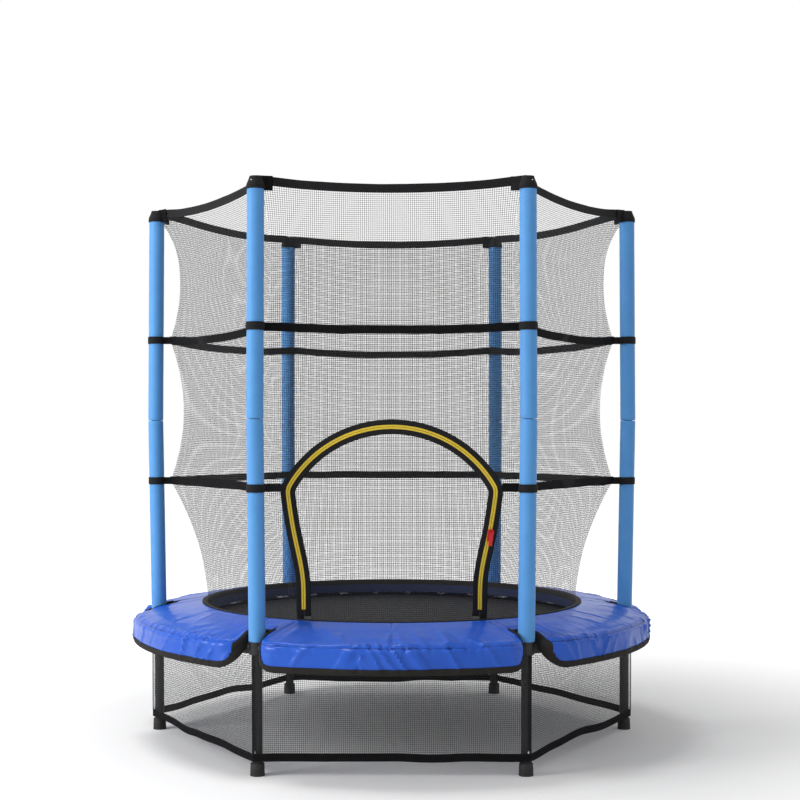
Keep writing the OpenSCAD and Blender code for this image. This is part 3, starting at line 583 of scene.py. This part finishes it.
cover = Finish("blue_coated_cloth", "pad_cover", {"Coat Roughness": 0.12, "Specular IOR Level": 0.22})
u, v, _ = cover.parts("UV")
# The dark line along the seam, where v is near 0, is painted shade for the crease there. The dashed line 4.2
# mm in on top is the stitching.
seam_shade = v.math("ABSOLUTE").math("LESS_THAN", 0.0012)
thread = (v + 0.0042).math("ABSOLUTE").math("LESS_THAN", 0.0005) * u.wave(0.0045).math("GREATER_THAN", -0.4)
wrinkle = cover.add(
    "TexNoise", {}, {"Vector": cover.place(), "Scale": 26.0, "Detail": 4.0, "Distortion": 0.6})
cover.set({
    "Base Color": cover.tint((0.012, 0.09, 0.52), (0.004, 0.03, 0.2), seam_shade * 0.9 + thread * 0.5),
    "Roughness": cover.cloud(0.03) * 0.14 + 0.3,
    "Coat Weight": cover.cloud(0.09) * 0.25 + 0.05,
    "Normal": cover.relief(wrinkle + cover.cloud(0.0012) * 0.05, 0.0016),
})

# The binding lies over the pad's cut edges, so it is lifted off the pad's own faces.
BINDING, TOP_ROW, WRAP = 0.014, 19, 1.3
rim = bm.copy()
rim_rows, rim_cols = rim.verts.layers.int["row"], rim.verts.layers.int["column"]


def bound(face):
    """True for a face that lies under the black binding."""
    rows = [v[rim_rows] for v in face.verts]
    cols = [v[rim_cols] for v in face.verts]
    angles = [outline[c][0] % BAY_ANGLE for c in cols]
    off = max(min(a, BAY_ANGLE - a) for a in angles)
    cut = any(outline[c][2] for c in cols)
    middle = face.calc_center_median()
    r = math.hypot(middle.x, middle.y)
    side = math.radians(off - NOTCH) * PAD_OUT
    if cut and all(outline[c][2] for c in cols):
        return r > NOTCH_R - 0.004 and middle.z > UNDER_Z + 0.001
    if min(rows) < TOP_ROW or max(rows) > EDGE_ROW + 3:
        return cut and r > NOTCH_R - 0.006 and max(rows) < ROWS - 3
    if cut:
        return True
    over = side < (BINDING - 0.002 if min(rows) >= SEAM_ROW - 2 else 0.009) and r > NOTCH_R - 0.004
    rise = middle.z - valance_edge(max(off, NOTCH))
    corner = math.hypot(max(0.0, 1 - side / ROUND_W), max(0.0, (VALANCE_Z + ROUND_R - middle.z) / ROUND_R))
    return over or (min(rows) >= SEAM_ROW and (corner > 1 - BINDING / ROUND_W * WRAP or rise < 0.001))


bmesh.ops.delete(rim, geom=[f for f in rim.faces if not bound(f)], context="FACES")
rim.normal_update()
for vert in rim.verts:
    vert.co += vert.normal * 0.0009
binding = webbing("black_binding", "binding", (0.014, 0.013, 0.012), (0.036, 0.034, 0.031), BINDING)
strip = piece("pad_binding", rim, binding, ["pad_binding"])
thick = strip.modifiers.new("thickness", "SOLIDIFY")
thick.thickness, thick.offset = 0.0012, 1.0
soft = strip.modifiers.new("soft", "SUBSURF")
soft.levels = soft.render_levels = 1

pad = piece("frame_pad_cover", bm, cover, ["frame_pad"], smooth=50)

RIM_R, RIM_H, SKIRT_Z, RIM_STEPS = PAD_IN - 0.0018, 0.012, 0.3275, 240
collar = webbing("opening_binding", "binding", (0.022, 0.02, 0.017), (0.06, 0.055, 0.047), RIM_H)
piece("opening_binding", turned([
    (RIM_R, PAD_IN_Z - RIM_H), (RIM_R, PAD_IN_Z - 0.003), (RIM_R + 0.0015, PAD_IN_Z + 0.0008),
    (RIM_R + 0.006, PAD_IN_Z + 0.002), (RIM_R + 0.016, PAD_IN_Z + 0.0018), (RIM_R + 0.016, PAD_IN_Z),
    (RIM_R + 0.0017, PAD_IN_Z - 0.004), (RIM_R + 0.0017, PAD_IN_Z - RIM_H),
    (RIM_R, PAD_IN_Z - RIM_H)], RIM_STEPS), collar, ["pad_binding"])
# The inner skirt's dark navy, far darker than the cover's blue, is painted shade: the skirt hangs in the
# shadow of the pad's inner edge.
skirt = Finish("inner_skirt", "pad_cover", {"Roughness": 0.6})
skirt.set({
    "Base Color": skirt.tint((0.006, 0.012, 0.05), (0.012, 0.025, 0.1), skirt.cloud(0.05)),
    "Normal": skirt.relief(skirt.cloud(0.004), 0.0004),
})
piece("inner_skirt", turned([
    (RIM_R + 0.0002, SKIRT_Z), (RIM_R + 0.0002, PAD_IN_Z - RIM_H + 0.001),
    (RIM_R + 0.001, PAD_IN_Z - RIM_H + 0.001), (RIM_R + 0.001, SKIRT_Z),
    (RIM_R + 0.0002, SKIRT_Z)], RIM_STEPS), skirt)

# ---- Posts and foam --------------------------------------------------------------
# Two-piece steel posts in light blue closed-cell foam. The net's pull bows each post
# outward at its joint, where the lower sleeve ends and the upper one starts.
JOINT_Z, TOP_Z, RAIL_Z, BOW, LEAN, FOAM_R = 0.856, 1.424, 0.307, 0.008, 0.003, 0.0205
LOW_TILT = math.atan(BOW / (JOINT_Z - RAIL_Z))
UP_TILT = math.atan((BOW - LEAN) / (TOP_Z - JOINT_Z))
BELTS = (1.077, 0.690)
BELT_H = 0.0195


def lower_axis(i):
    return at_post(i, RING_R, RAIL_Z) @ Matrix.Rotation(LOW_TILT, 4, "Y")


def upper_axis(i):
    return at_post(i, RING_R + BOW, JOINT_Z) @ Matrix.Rotation(-UP_TILT, 4, "Y")


def post_out(z):
    """Radius of the post's axis at a height."""
    if z < JOINT_Z:
        return RING_R + BOW * (z - RAIL_Z) / (JOINT_Z - RAIL_Z)
    return RING_R + BOW - (BOW - LEAN) * (z - JOINT_Z) / (TOP_Z - JOINT_Z)


dress(coat, *numbered("lower_post"), "upper_posts")
cap = Finish("black_cap", "black_plastic", {"Specular IOR Level": 0.5})
cap.set({
    "Base Color": cap.tint((0.015, 0.015, 0.016), (0.026, 0.026, 0.028), cap.cloud(0.01)),
    "Roughness": cap.cloud(0.005) * 0.15 + 0.35,
    "Normal": cap.relief(cap.cloud(0.001), 0.00006),
})
dress(cap, "post_caps")

foam = Finish("blue_foam", "foam", {
    "Specular IOR Level": 0.35, "Sheen Weight": 0.12, "Sheen Roughness": 0.5})
foam.set({
    "Base Color": foam.tint(
        (0.07, 0.27, 0.62), (0.1, 0.34, 0.72), foam.cloud(0.03) * 0.7 + foam.cloud(0.002) * 0.3),
    "Roughness": foam.cloud(0.006) * 0.15 + 0.48,
    "Normal": foam.relief(foam.cloud(0.0014) * 0.5 + foam.cloud(0.02), 0.0004),
})

SLEEVE_STEPS, BORE_R = 90, TUBE_R + 0.0004
COLLAR_TOP, POST_END, SLEEVE_GAP = 0.0156, 0.012, 0.0004


def sleeve(low, high, belt, seed):
    """A foam sleeve between two heights on its post, drawn in a little under the belt's loop."""
    outer = []
    heights = {low, low + 0.0014, high - 0.0014, high}
    heights |= {low + (high - low) * n / SLEEVE_STEPS for n in range(1, SLEEVE_STEPS)}
    for z in sorted(heights):
        end = min(z - low, high - z)
        r = FOAM_R - 0.0013 * math.exp(-end / 0.0008)
        r -= 0.0008 * math.exp(-((z - belt) / 0.013) ** 4)
        outer.append((r + 0.00022 * noise.noise(Vector((0, seed, z * 22))), z))
    return turned([(BORE_R, low)] + outer + [(BORE_R, high), (BORE_R, low)])


for i in POSTS:
    low = sleeve(COLLAR_TOP, JOINT_Z - RAIL_Z - SLEEVE_GAP, BELTS[1] - RAIL_Z, i)
    sleeve_low = piece(
        f"lower_sleeve_{i}", copies(low, [lower_axis(i)]), foam, [f"foam_lower_{i}"], smooth=60)
    high = sleeve(SLEEVE_GAP, TOP_Z - POST_END - JOINT_Z, BELTS[0] - JOINT_Z, i + 20)
    sleeve_high = piece(
        f"upper_sleeve_{i}", copies(high, [upper_axis(i)]), foam, [f"foam_upper_{i}"], smooth=60)

# ---- Enclosure net ---------------------------------------------------------------
# Black knitted mesh with square holes, one panel in each bay. It is held at the top
# band, at two belts and on the pad's inner ring, and the pull draws its corners in
# between them.
FOOT_Z, BAND_H, BAND_TOP, BAND_SAG = 0.363, 0.024, 1.434, 0.018
NET_TOP = BAND_TOP - BAND_H
TOP_R, BELT_R, FOOT_R = 0.620, 0.612, 0.505
DRAWS = ((FOOT_Z, FOOT_R, 0.020), (BELTS[1], BELT_R, 0.037), (BELTS[0], BELT_R, 0.032), (NET_TOP, TOP_R, 0))
COS, SIN = math.cos(math.radians(HALF)), math.sin(math.radians(HALF))
SEAT, NET_REACH, NET_LIFT, SLACK = 0.00015, 1.4185, 0.0008, 0.004


def mix(a, b, t):
    return a + (b - a) * t


def corner_r(z):
    """Radius of the net's corner at a height."""
    for (z0, r0, draw), (z1, r1, _) in zip(DRAWS, DRAWS[1:]):
        if z < z1 or z1 == NET_TOP:
            t = min(1.0, (z - z0) / (z1 - z0))
            return mix(r0, r1, t) - 4 * draw * t * (1 - t)


def middle_r(z):
    """Distance of the net's middle line, round on the pad and flat from the belts up."""
    if z < BELTS[1]:
        return mix(FOOT_R, BELT_R * COS, (z - FOOT_Z) / (BELTS[1] - FOOT_Z))
    return mix(BELT_R, TOP_R, max(0.0, min(z, NET_TOP) - BELTS[0]) / (NET_TOP - BELTS[0])) * COS


def net_y(x, z):
    """Distance of the net from the axis, square to its bay."""
    r = corner_r(z)
    flat = r * COS
    return flat + (middle_r(z) - flat) * (1 - (x / (r * SIN)) ** 2)


def sagged(s, z, base):
    """A height lowered by the top band's sag, which fades out down to the base."""
    return z - BAND_SAG * (1 - s * s) * (z - base) / (NET_TOP - base)


def panel(bm, across, up, place):
    """Adds a grid of faces. For each u, v place gives the point and its UV in metres."""
    uv = bm.loops.layers.uv.verify()
    made = bmesh.ops.create_grid(bm, x_segments=across, y_segments=up, size=0.5)["verts"]
    spots = {}
    for vert in made:
        vert.co, spots[vert] = place(vert.co.x + 0.5, vert.co.y + 0.5)
    for vert in made:
        for loop in vert.link_loops:
            loop[uv].uv = spots[vert]


FLARE, FLARE_S, FLARE_Z = 0.035, 0.65, 1.3


def flare(s, z):
    """How much wider the net and its band spread at the top corners, towards the posts."""
    high = max(0.0, min(1.0, (z - FLARE_Z) / (NET_TOP - FLARE_Z)))
    return 1 + FLARE * max(0.0, (abs(s) - FLARE_S) / (1 - FLARE_S)) ** 2 * high ** 2


def stretched(bm):
    """The area of the mesh's faces."""
    return sum(face.calc_area() for face in bm.faces)


# Dark threads, 0.17 of the pitch wide, round square holes.
PITCH, THREAD = 0.005, 0.17
net = Finish("enclosure_mesh", "net", {"Roughness": 0.7, "Specular IOR Level": 0.2})
u, v, _ = net.parts("UV")
threads = [(way * (1 / PITCH)).math("FRACT").math("LESS_THAN", THREAD) for way in (u, v)]
net.set({
    "Alpha": threads[0].math("MAXIMUM", threads[1]),
    "Base Color": net.tint((0.014, 0.014, 0.015), (0.04, 0.04, 0.042), net.cloud(0.004)),
    "Normal": net.relief((u * (1 / PITCH)).wave(1.0) + (v * (1 / PITCH)).wave(1.0), 0.0002),
})
FRONT = 5
for k in POSTS:
    if k == FRONT:
        continue

    def place(u, v, k=k):
        z = mix(FOOT_Z, NET_REACH, v)
        w = corner_r(z) * SIN - SEAT
        x = w * (1 - 2 * u)
        slack = 4 * u * (1 - u) * SLACK * noise.noise(Vector((x * 7, z * 6, k * 3.7)))
        wide = flare(x / w, z)
        return (x * wide, (net_y(x, z) + NET_LIFT + slack) * wide, sagged(x / w, z, FOOT_Z)), (x, z)

    bm = blank()
    panel(bm, 40, 90, place)
    area = stretched(bm)
    bay_net = piece(f"net_bay_{k}", copies(bm, [at_bay(k)]), net, ["net_sides"], smooth=180)

# ---- Doorway ---------------------------------------------------------------------
# An arch in the front bay. Net is sewn to the outer half of the zip's tape on all
# sides, and the flap of net to the inner half.
SHOULDER_X, SHOULDER_Z, ARCH_TOP, TAPER = 0.252, 0.686, 0.837, 0.037
DOOR_Z, TAPE_W, ZIP_GAP = 0.371, 0.0175, 0.0004
ARCH_H = ARCH_TOP - SHOULDER_Z
ARCH_R = (SHOULDER_X ** 2 + ARCH_H ** 2) / (2 * ARCH_H)
ARCH_Z = ARCH_TOP - ARCH_R
ARCH_HALF = math.asin(SHOULDER_X / ARCH_R)
TAPE_EDGE = ZIP_GAP + TAPE_W
SPLIT_Z = ARCH_TOP + TAPE_W + 0.012
FOOT_X = SHOULDER_X - TAPER
TAPE_SLOPE, LEG_BOW, LAP = 0.1, 0.0095, 0.002
ZIP_FOOT_Y, ZIP_TOP_Y = net_y(FOOT_X, FOOT_Z), net_y(SHOULDER_X, SHOULDER_Z)


def leg_share(z):
    """Share of the zip's leg below a height."""
    return (z - FOOT_Z) / (SHOULDER_Z - FOOT_Z)


def front_y(x, z):
    """Distance of the front bay's net, led through the straight legs of the zip."""
    if z > SHOULDER_Z:
        return net_y(x, z)
    t = leg_share(z)
    zip_x, zip_y = mix(FOOT_X, SHOULDER_X, t), mix(ZIP_FOOT_Y, ZIP_TOP_Y, t)
    slope = TAPE_SLOPE * min(1.0, max(0.0, (SHOULDER_Z - z) / 0.02))
    off, side = abs(x) - zip_x, TAPE_EDGE
    if off < -side:
        m = middle_r(z)
        return m + (zip_y + slope * side - m) * (x / (zip_x - side)) ** 2
    if off < side:
        return zip_y - slope * off
    far = corner_r(z) * SIN
    return mix(zip_y - slope * side, corner_r(z) * COS, (abs(x) - zip_x - side) / (far - zip_x - side))


def leg_x(z):
    """How far out the zip's leg stands. The net's pull bows it inward below the slider."""
    t = leg_share(z)
    return mix(FOOT_X, SHOULDER_X, t) - LEG_BOW * math.sin(math.pi * max(0.0, 1 - t) ** 1.6) ** 2


def zip_stations(low):
    """Points of the zip's middle line and the directions away from the door, foot to foot."""
    heights = [mix(low, SHOULDER_Z, t / 80) for t in range(80)]
    turns = [ARCH_HALF * (1 - t / 75) for t in range(76)]
    side = [Vector((leg_x(z), z)) for z in heights]
    side += [Vector((ARCH_R * math.sin(a), ARCH_Z + ARCH_R * math.cos(a))) for a in turns]
    for _ in range(9):  # eases the shoulder
        side = [side[0]] + [(a + 2 * b + c) / 4 for a, b, c in zip(side, side[1:], side[2:])] + [side[-1]]
    line = [Vector((-p.x, p.y)) for p in side] + [p for p in reversed(side[:-1])]
    ways = []
    for n in range(len(line)):
        ahead = (line[min(n + 1, len(line) - 1)] - line[max(n - 1, 0)]).normalized()
        ways.append(Vector((-ahead.y, ahead.x)))
    return line, ways


def beside(line, ways, t, off, lift):
    """The point at share t of the zip's line, off to its side and lifted off the net."""
    n = t * (len(line) - 1)
    a, f = min(int(n), len(line) - 2), n - min(int(n), len(line) - 2)
    p = line[a].lerp(line[a + 1], f) + ways[a].lerp(ways[a + 1], f) * off
    return Vector((p.x, front_y(p.x, p.y) + lift, p.y))


front_line, front_ways = zip_stations(FOOT_Z + 0.002)
door_line, door_ways = zip_stations(DOOR_Z)


def arch_rim(t):
    """Where the fixed net meets the zip's tape, from the top of the arch (0) to a foot (1)."""
    spot = beside(front_line, front_ways, 0.5 + t / 2, TAPE_EDGE - LAP, 0)
    return spot.x, spot.z


def fixed_panel(side):
    """The fixed net at one side of the doorway, from the tape out to the corner."""
    def place(u, v):
        x0, z0 = arch_rim(v)
        turn = 0.30
        if v < turn:
            x1, z1 = v / turn * (corner_r(SPLIT_Z) * SIN - SEAT), SPLIT_Z
        else:
            z1 = mix(SPLIT_Z, FOOT_Z, (v - turn) / (1 - turn))
            x1 = corner_r(z1) * SIN - SEAT
        share = u if side < 0 else 1 - u
        x, z = mix(x0, x1, share), mix(z0, z1, share)
        return (side * x, front_y(x, z) + NET_LIFT, z), (side * x, z)
    return place


bm = blank()
for side in (-1, 1):
    panel(bm, 14, 110, fixed_panel(side))


def over_door(u, v):
    """The fixed net above the split, across the whole bay."""
    z = mix(SPLIT_Z, NET_REACH, v)
    w = corner_r(z) * SIN - SEAT
    x = w * (1 - 2 * u)
    slack = 4 * u * (1 - u) * 4 * v * (1 - v) * SLACK * noise.noise(Vector((x * 7, z * 6, 4.4)))
    wide = flare(x / w, z)
    return (x * wide, (net_y(x, z) + NET_LIFT + slack) * wide, sagged(x / w, z, SPLIT_Z)), (x, z)


def sill(u, v):
    """The strip of net along the pad's inner edge that the flap is sewn to."""
    x = (FOOT_X - TAPE_EDGE + LAP) * (1 - 2 * u)
    z = mix(FOOT_Z, DOOR_Z, v)
    return (x, front_y(x, z) + NET_LIFT, z), (x, z)


panel(bm, 40, 48, over_door)
panel(bm, 36, 1, sill)
bmesh.ops.remove_doubles(bm, verts=bm.verts, dist=1e-5)
area = stretched(bm)
front_net = piece("net_front_fixed", copies(bm, [at_bay(FRONT)]), net, ["net_front"], smooth=180)


def flap(u, v):
    """The flap's net: each upright line runs from the foot to the arch."""
    reach = SHOULDER_X - TAPE_EDGE * math.sin(ARCH_HALF) - 0.001
    s = 1 - 2 * u
    across = s * reach
    rise = ARCH_Z + math.sqrt((ARCH_R - TAPE_EDGE + LAP) ** 2 - across ** 2)
    z = mix(DOOR_Z, rise, v)
    x = s * min(reach, leg_x(min(z, SHOULDER_Z)) - TAPE_EDGE + LAP)
    return (x, front_y(x, z) + NET_LIFT, z), (x, z)


bm = blank()
panel(bm, 36, 48, flap)
area = stretched(bm)
door = piece("door_flap", copies(bm, [at_bay(FRONT)]), net, ["net_door"], None, 180)
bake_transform(door)

# ---- Zip -------------------------------------------------------------------------
# Black tape either side of a yellow moulded chain, sewn round the whole arch. The
# teeth stop short of the tape's ends, and the slider waits on the right-hand leg.
TAPE_LIFT, TAPE_T, CORD_W, CORD_H, CORD_IN = 0.001, 0.0009, 0.0058, 0.0009, 0.0004
TOOTH_PITCH, TOOTH, TOOTH_OUT = 0.0028, (0.0013, 0.0046, 0.0016), 0.0031
TOOTH_LIFT = TAPE_LIFT + TAPE_T + 0.0004
tape_cloth = webbing("zip_tape_cloth", "zip_tape", BLACK, CHARCOAL, TAPE_W)
yellow = Finish("yellow_chain", "zip_tape", {"Specular IOR Level": 0.2})
yellow.set({
    "Base Color": yellow.tint((0.68, 0.48, 0.03), (0.84, 0.63, 0.07), yellow.cloud(0.004)),
    "Roughness": yellow.cloud(0.003) * 0.2 + 0.38,
    "Normal": yellow.relief(yellow.cloud(0.001), 0.0001),
})
# The cord is darkened within GROOVE_W of both long edges: painted shade for the groove between the two cords
# and for the shadow along the chain's outer edge.
GROOVE_W = 0.001
groove = Finish("chain_cord", "zip_tape", {"Specular IOR Level": 0.2, "Roughness": 0.5})
_, v, _ = groove.parts("UV")
edge = v.math("LESS_THAN", GROOVE_W).math("MAXIMUM", v.math("GREATER_THAN", CORD_W - GROOVE_W))
groove.set({
    "Base Color": groove.tint(
        (0.76, 0.55, 0.05), (0.16, 0.10, 0.012), edge * 0.9 + groove.cloud(0.004) * 0.1),
    "Normal": groove.relief(groove.cloud(0.001), 0.0001),
})
# name, side of the chain, its line, node, body and the tape's bare length at each end
for part_name, side, line, ways, node, body, spare in (
    ("net", 1, front_line, front_ways, "zip_half_net", "frame", 0.0235),
    ("door", -1, door_line, door_ways, "zip_half_door", None, 0.0175),
):
    length = sum((b - a).length for a, b in zip(line, line[1:]))

    def tape(u, v):
        off = ZIP_GAP + TAPE_W * (v if side > 0 else 1 - v)
        return beside(line, ways, 1 - u, side * off, TAPE_LIFT), (u * length, TAPE_W * v)

    bm = blank()
    panel(bm, 310, 4, tape)
    strip = piece(f"{part_name}_tape", copies(bm, [at_bay(FRONT)]), tape_cloth, [node], body)
    thick = strip.modifiers.new("thickness", "SOLIDIFY")
    thick.thickness, thick.offset = TAPE_T, 1.0

    def core(u, v):
        off = CORD_W * (v if side > 0 else 1 - v) - CORD_IN
        t = mix(1 - spare / length, spare / length, u)
        lift = TAPE_LIFT + TAPE_T + CORD_H * (4 * v * (1 - v)) ** 0.5
        return beside(line, ways, t, side * off, lift), (u * length, CORD_W * v)

    bm = blank()
    panel(bm, 310, 6, core)
    cord = piece(f"{part_name}_chain_cord", copies(bm, [at_bay(FRONT)]), groove, [node], body, 60)
    bm = blank()
    bmesh.ops.create_cube(bm, size=1)
    bmesh.ops.scale(bm, vec=TOOTH, verts=bm.verts)
    bmesh.ops.bevel(bm, geom=bm.edges, offset=0.0005, segments=1, profile=0.5, affect="EDGES", material=-1)
    places = []
    teeth = int((length - 2 * spare) / TOOTH_PITCH)
    for n in range(teeth):
        t = (spare + (n + (side < 0) / 2) * TOOTH_PITCH) / length
        spot = beside(line, ways, t, side * TOOTH_OUT, TOOTH_LIFT)
        ahead = beside(line, ways, min(1.0, t + 0.004), side * TOOTH_OUT, TOOTH_LIFT) - spot
        away = beside(line, ways, t, side * 0.012, TOOTH_LIFT) - beside(line, ways, t, 0, TOOTH_LIFT)
        up = ahead.cross(away).normalized()
        across = up.cross(ahead.normalized())
        turn = Matrix((ahead.normalized(), across, up)).transposed().to_4x4()
        places.append(at_bay(FRONT) @ Matrix.Translation(spot) @ turn)
    chain = piece(f"{part_name}_teeth", copies(bm, places), yellow, [node], body, 30)
    if not body:
        for part in (strip, cord, chain):
            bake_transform(part)
enamel = Finish("red_enamel", "red_enamel", {"Specular IOR Level": 0.25})
enamel.set({
    "Base Color": enamel.tint((0.55, 0.012, 0.02), (0.68, 0.03, 0.035), enamel.cloud(0.006)),
    "Roughness": enamel.cloud(0.004) * 0.15 + 0.25,
    "Normal": enamel.relief(enamel.cloud(0.002), 0.00006),
})
dress(enamel, "zip_slider", "pull_tab")

# ---- Belts -----------------------------------------------------------------------
# Two belts of black webbing round the net, with a loop round each foam sleeve and a
# short strap from the loop to the net's corner. The doorway interrupts the lower one.
belt_cloth = webbing("belt_webbing", "webbing", BLACK, CHARCOAL, BELT_H)
BELT_Y, BELT_W = BELT_R * COS + 0.0019, BELT_R * SIN - SEAT
STOP = SHOULDER_X + TAPE_EDGE - 0.0045  # where the lower belt ends, on the zip's tape


def belt_strip(bm, z, x0, x1, base):
    """A strip of webbing from x0 to x1, sagging with the net above base."""
    def place(u, v):
        x = mix(x1, x0, u)
        ripple = 0.0012 * noise.noise(Vector((x * 14, z * 9, x0 * 31)))
        height = sagged(x / BELT_W, z, base) + BELT_H * (v - 0.5) + ripple
        return (x, BELT_Y + abs(ripple), height), (x, BELT_H * v)
    panel(bm, 40, 4, place)


def solid(bm, thickness):
    """The open mesh with a wall of that thickness outward."""
    bmesh.ops.solidify(bm, geom=bm.faces[:], thickness=-thickness)
    bmesh.ops.recalc_face_normals(bm, faces=bm.faces)
    return bm


for name, z in zip(("upper_belt", "lower_belt"), BELTS):
    whole = blank()
    for k in POSTS:
        bm = blank()
        if k == FRONT and z == BELTS[1]:
            for x0, x1 in ((STOP, BELT_W), (-BELT_W, -STOP)):
                belt_strip(bm, z, x0, x1, z)
        else:
            belt_strip(bm, z, -BELT_W, BELT_W, z if z == BELTS[1] else SPLIT_Z if k == FRONT else FOOT_Z)
        pour(solid(bm, WEBBING_T), whole, [at_bay(k)])
    piece(name, whole, belt_cloth, [name])
    loop_r, out = FOAM_R + 0.0003, post_out(z)
    ring = turned([
        (loop_r, -BELT_H / 2), (loop_r + WEBBING_T, -BELT_H / 2), (loop_r + WEBBING_T * 1.3, 0),
        (loop_r + WEBBING_T, BELT_H / 2), (loop_r, BELT_H / 2), (loop_r, -BELT_H / 2)], 40)
    piece(f"{name}_loops", copies(ring, [at_post(i, out, z) for i in POSTS]), belt_cloth, [name])
    strap = blank()
    inner = BELT_R - 0.0005
    bmesh.ops.create_grid(strap, x_segments=6, y_segments=4, size=0.5)
    bmesh.ops.rotate(strap, matrix=Matrix.Rotation(math.pi / 2, 3, "X"), verts=strap.verts)
    bmesh.ops.scale(strap, vec=(out - FOAM_R - inner, 1, BELT_H), verts=strap.verts)
    bmesh.ops.translate(strap, vec=((out - FOAM_R + inner) / 2, WEBBING_T, 0), verts=strap.verts)
    solid(strap, 2 * WEBBING_T)
    piece(f"{name}_straps", copies(strap, [at_post(i, 0, z) for i in POSTS]), belt_cloth, [name])

# ---- Top band --------------------------------------------------------------------
# A wider band of doubled webbing along the net's upper edge. At each corner a pocket
# slips over the post's end, held by the cap bolt, and two patches are sewn behind it.
STRIP_H, PATCH_W, PATCH_H = 0.0185, 0.031, 0.034
band_cloth = webbing("band_webbing", "webbing", BLACK, CHARCOAL, STRIP_H)
BAND_W, BAND_T = TOP_R * SIN - SEAT, 0.0025


def band_place(u, v):
    s = 1 - 2 * u
    ripple = 0.0009 * noise.noise(Vector((s * 5, v * 2, 7.7)))
    x, y, wide = s * BAND_W, TOP_R * COS + abs(ripple), flare(s, NET_TOP)
    z = BAND_TOP - STRIP_H * (1 - v) - BAND_SAG * (1 - s * s) + ripple
    return (x * wide, y * wide, z), (x, STRIP_H * v)


bm = blank()
panel(bm, 40, 4, band_place)
solid(bm, BAND_T)
piece("top_band", copies(bm, [at_bay(k) for k in POSTS]), band_cloth, ["top_band"])
POCKET_LOW, POCKET_HIGH, POCKET_R = 1.402, 1.4325, TUBE_R + 0.0003
low, high = POCKET_LOW - JOINT_Z, POCKET_HIGH - JOINT_Z
pocket = turned([
    (FOAM_R + 0.0003, low), (FOAM_R + 0.0018, low), (FOAM_R + 0.002, low + 0.008),
    (FOAM_R + 0.0006, low + 0.0135), (POCKET_R + 0.0035, high - 0.006), (POCKET_R + 0.0018, high),
    (POCKET_R, high), (POCKET_R, low + 0.0125), (FOAM_R + 0.0003, low + 0.0105), (FOAM_R + 0.0003, low)], 40)
piece("pocket_loops", copies(pocket, [upper_axis(i) for i in POSTS]), band_cloth, ["corner_pockets"])


def patch(side):
    """The patch behind the band at one end of a bay."""
    def place(u, v):
        x = side * (BAND_W - PATCH_W * (u if side > 0 else 1 - u))
        wide, y = flare(x / BAND_W, NET_TOP), TOP_R * COS + BAND_T + 0.0003
        return (x * wide, y * wide, BAND_TOP - PATCH_H * (1 - v)), (x, STRIP_H * v)
    return place


bm = blank()
for side in (-1, 1):
    panel(bm, 6, 8, patch(side))
solid(bm, WEBBING_T)
piece("corner_patches", copies(bm, [at_bay(k) for k in POSTS]), band_cloth, ["corner_pockets"])

# ---- Leg net ---------------------------------------------------------------------
# The same mesh closes the space under the pad. It hangs outside the legs from the rail
# to a hem of doubled black tape, which waves a little between the legs.
HEM_Z, HEM_H, LEG_NET_TOP, HEM_T = 0.036, 0.018, 0.2917, 0.0022
LEG_NET_R = RING_R + TUBE_R + 0.00015 + 0.0045 + 0.002
LEG_W = LEG_NET_R * SIN - SEAT
hem_cloth = webbing("hem_tape", "webbing", BLACK, CHARCOAL, HEM_H)


def hem_wave(x, k):
    """How the hem's line rises and falls between two legs."""
    s = x / LEG_W
    return (1 - s * s) * (0.014 * noise.noise(Vector((x * 6.5, k * 2.3, 0.4))) + 0.002)


def leg_net_y(x, z):
    """Distance of the leg net: round under the rail, flat at the hem."""
    t = max(0.0, (z - HEM_Z - HEM_H) / (LEG_NET_TOP - HEM_Z - HEM_H))
    return LEG_NET_R * (COS + (1 - COS) * t * (1 - (x / (LEG_NET_R * SIN)) ** 2))


for k in POSTS:
    def place(u, v, k=k):
        x = LEG_W * (1 - 2 * u)
        z = mix(HEM_Z + HEM_H, LEG_NET_TOP, v)
        slack = 4 * u * (1 - u) * SLACK * noise.noise(Vector((x * 9, z * 8, k * 5.1)))
        return (x, leg_net_y(x, z) + NET_LIFT + slack, z + hem_wave(x, k) * (1 - v)), (x, z)

    def hem(u, v, k=k):
        x = LEG_W * (1 - 2 * u)
        slack = 4 * u * (1 - u) * SLACK * noise.noise(Vector((x * 9, HEM_Z * 8, k * 5.1)))
        return (x, LEG_NET_R * COS + slack, HEM_Z + HEM_H * v + hem_wave(x, k)), (x, HEM_H * v)

    bm = blank()
    panel(bm, 40, 20, place)
    area = stretched(bm)
    skirt_net = piece(f"leg_net_{k}", copies(bm, [at_bay(k)]), net, ["leg_net"], smooth=180)
    bm = blank()
    panel(bm, 40, 4, hem)
    hem_strip = piece(f"leg_net_hem_{k}", copies(solid(bm, HEM_T), [at_bay(k)]), hem_cloth, ["leg_net_hem"])

# A narrow binding is folded over the seam between two bays' nets.
SEAM_W, SEAM_T = 0.0035, 0.0008


def corner_seam(u, v):
    z = mix(HEM_Z + HEM_H, LEG_NET_TOP, v)
    y = SEAM_W * (1 - 2 * u)
    return (LEG_NET_R + 0.0004 - abs(y) * 0.5, y, z), (z, BELT_H / 2 + y)


bm = blank()
panel(bm, 2, 20, corner_seam)
piece("leg_net_corner_seams", copies(solid(bm, SEAM_T), [at_post(i) for i in POSTS]), belt_cloth)
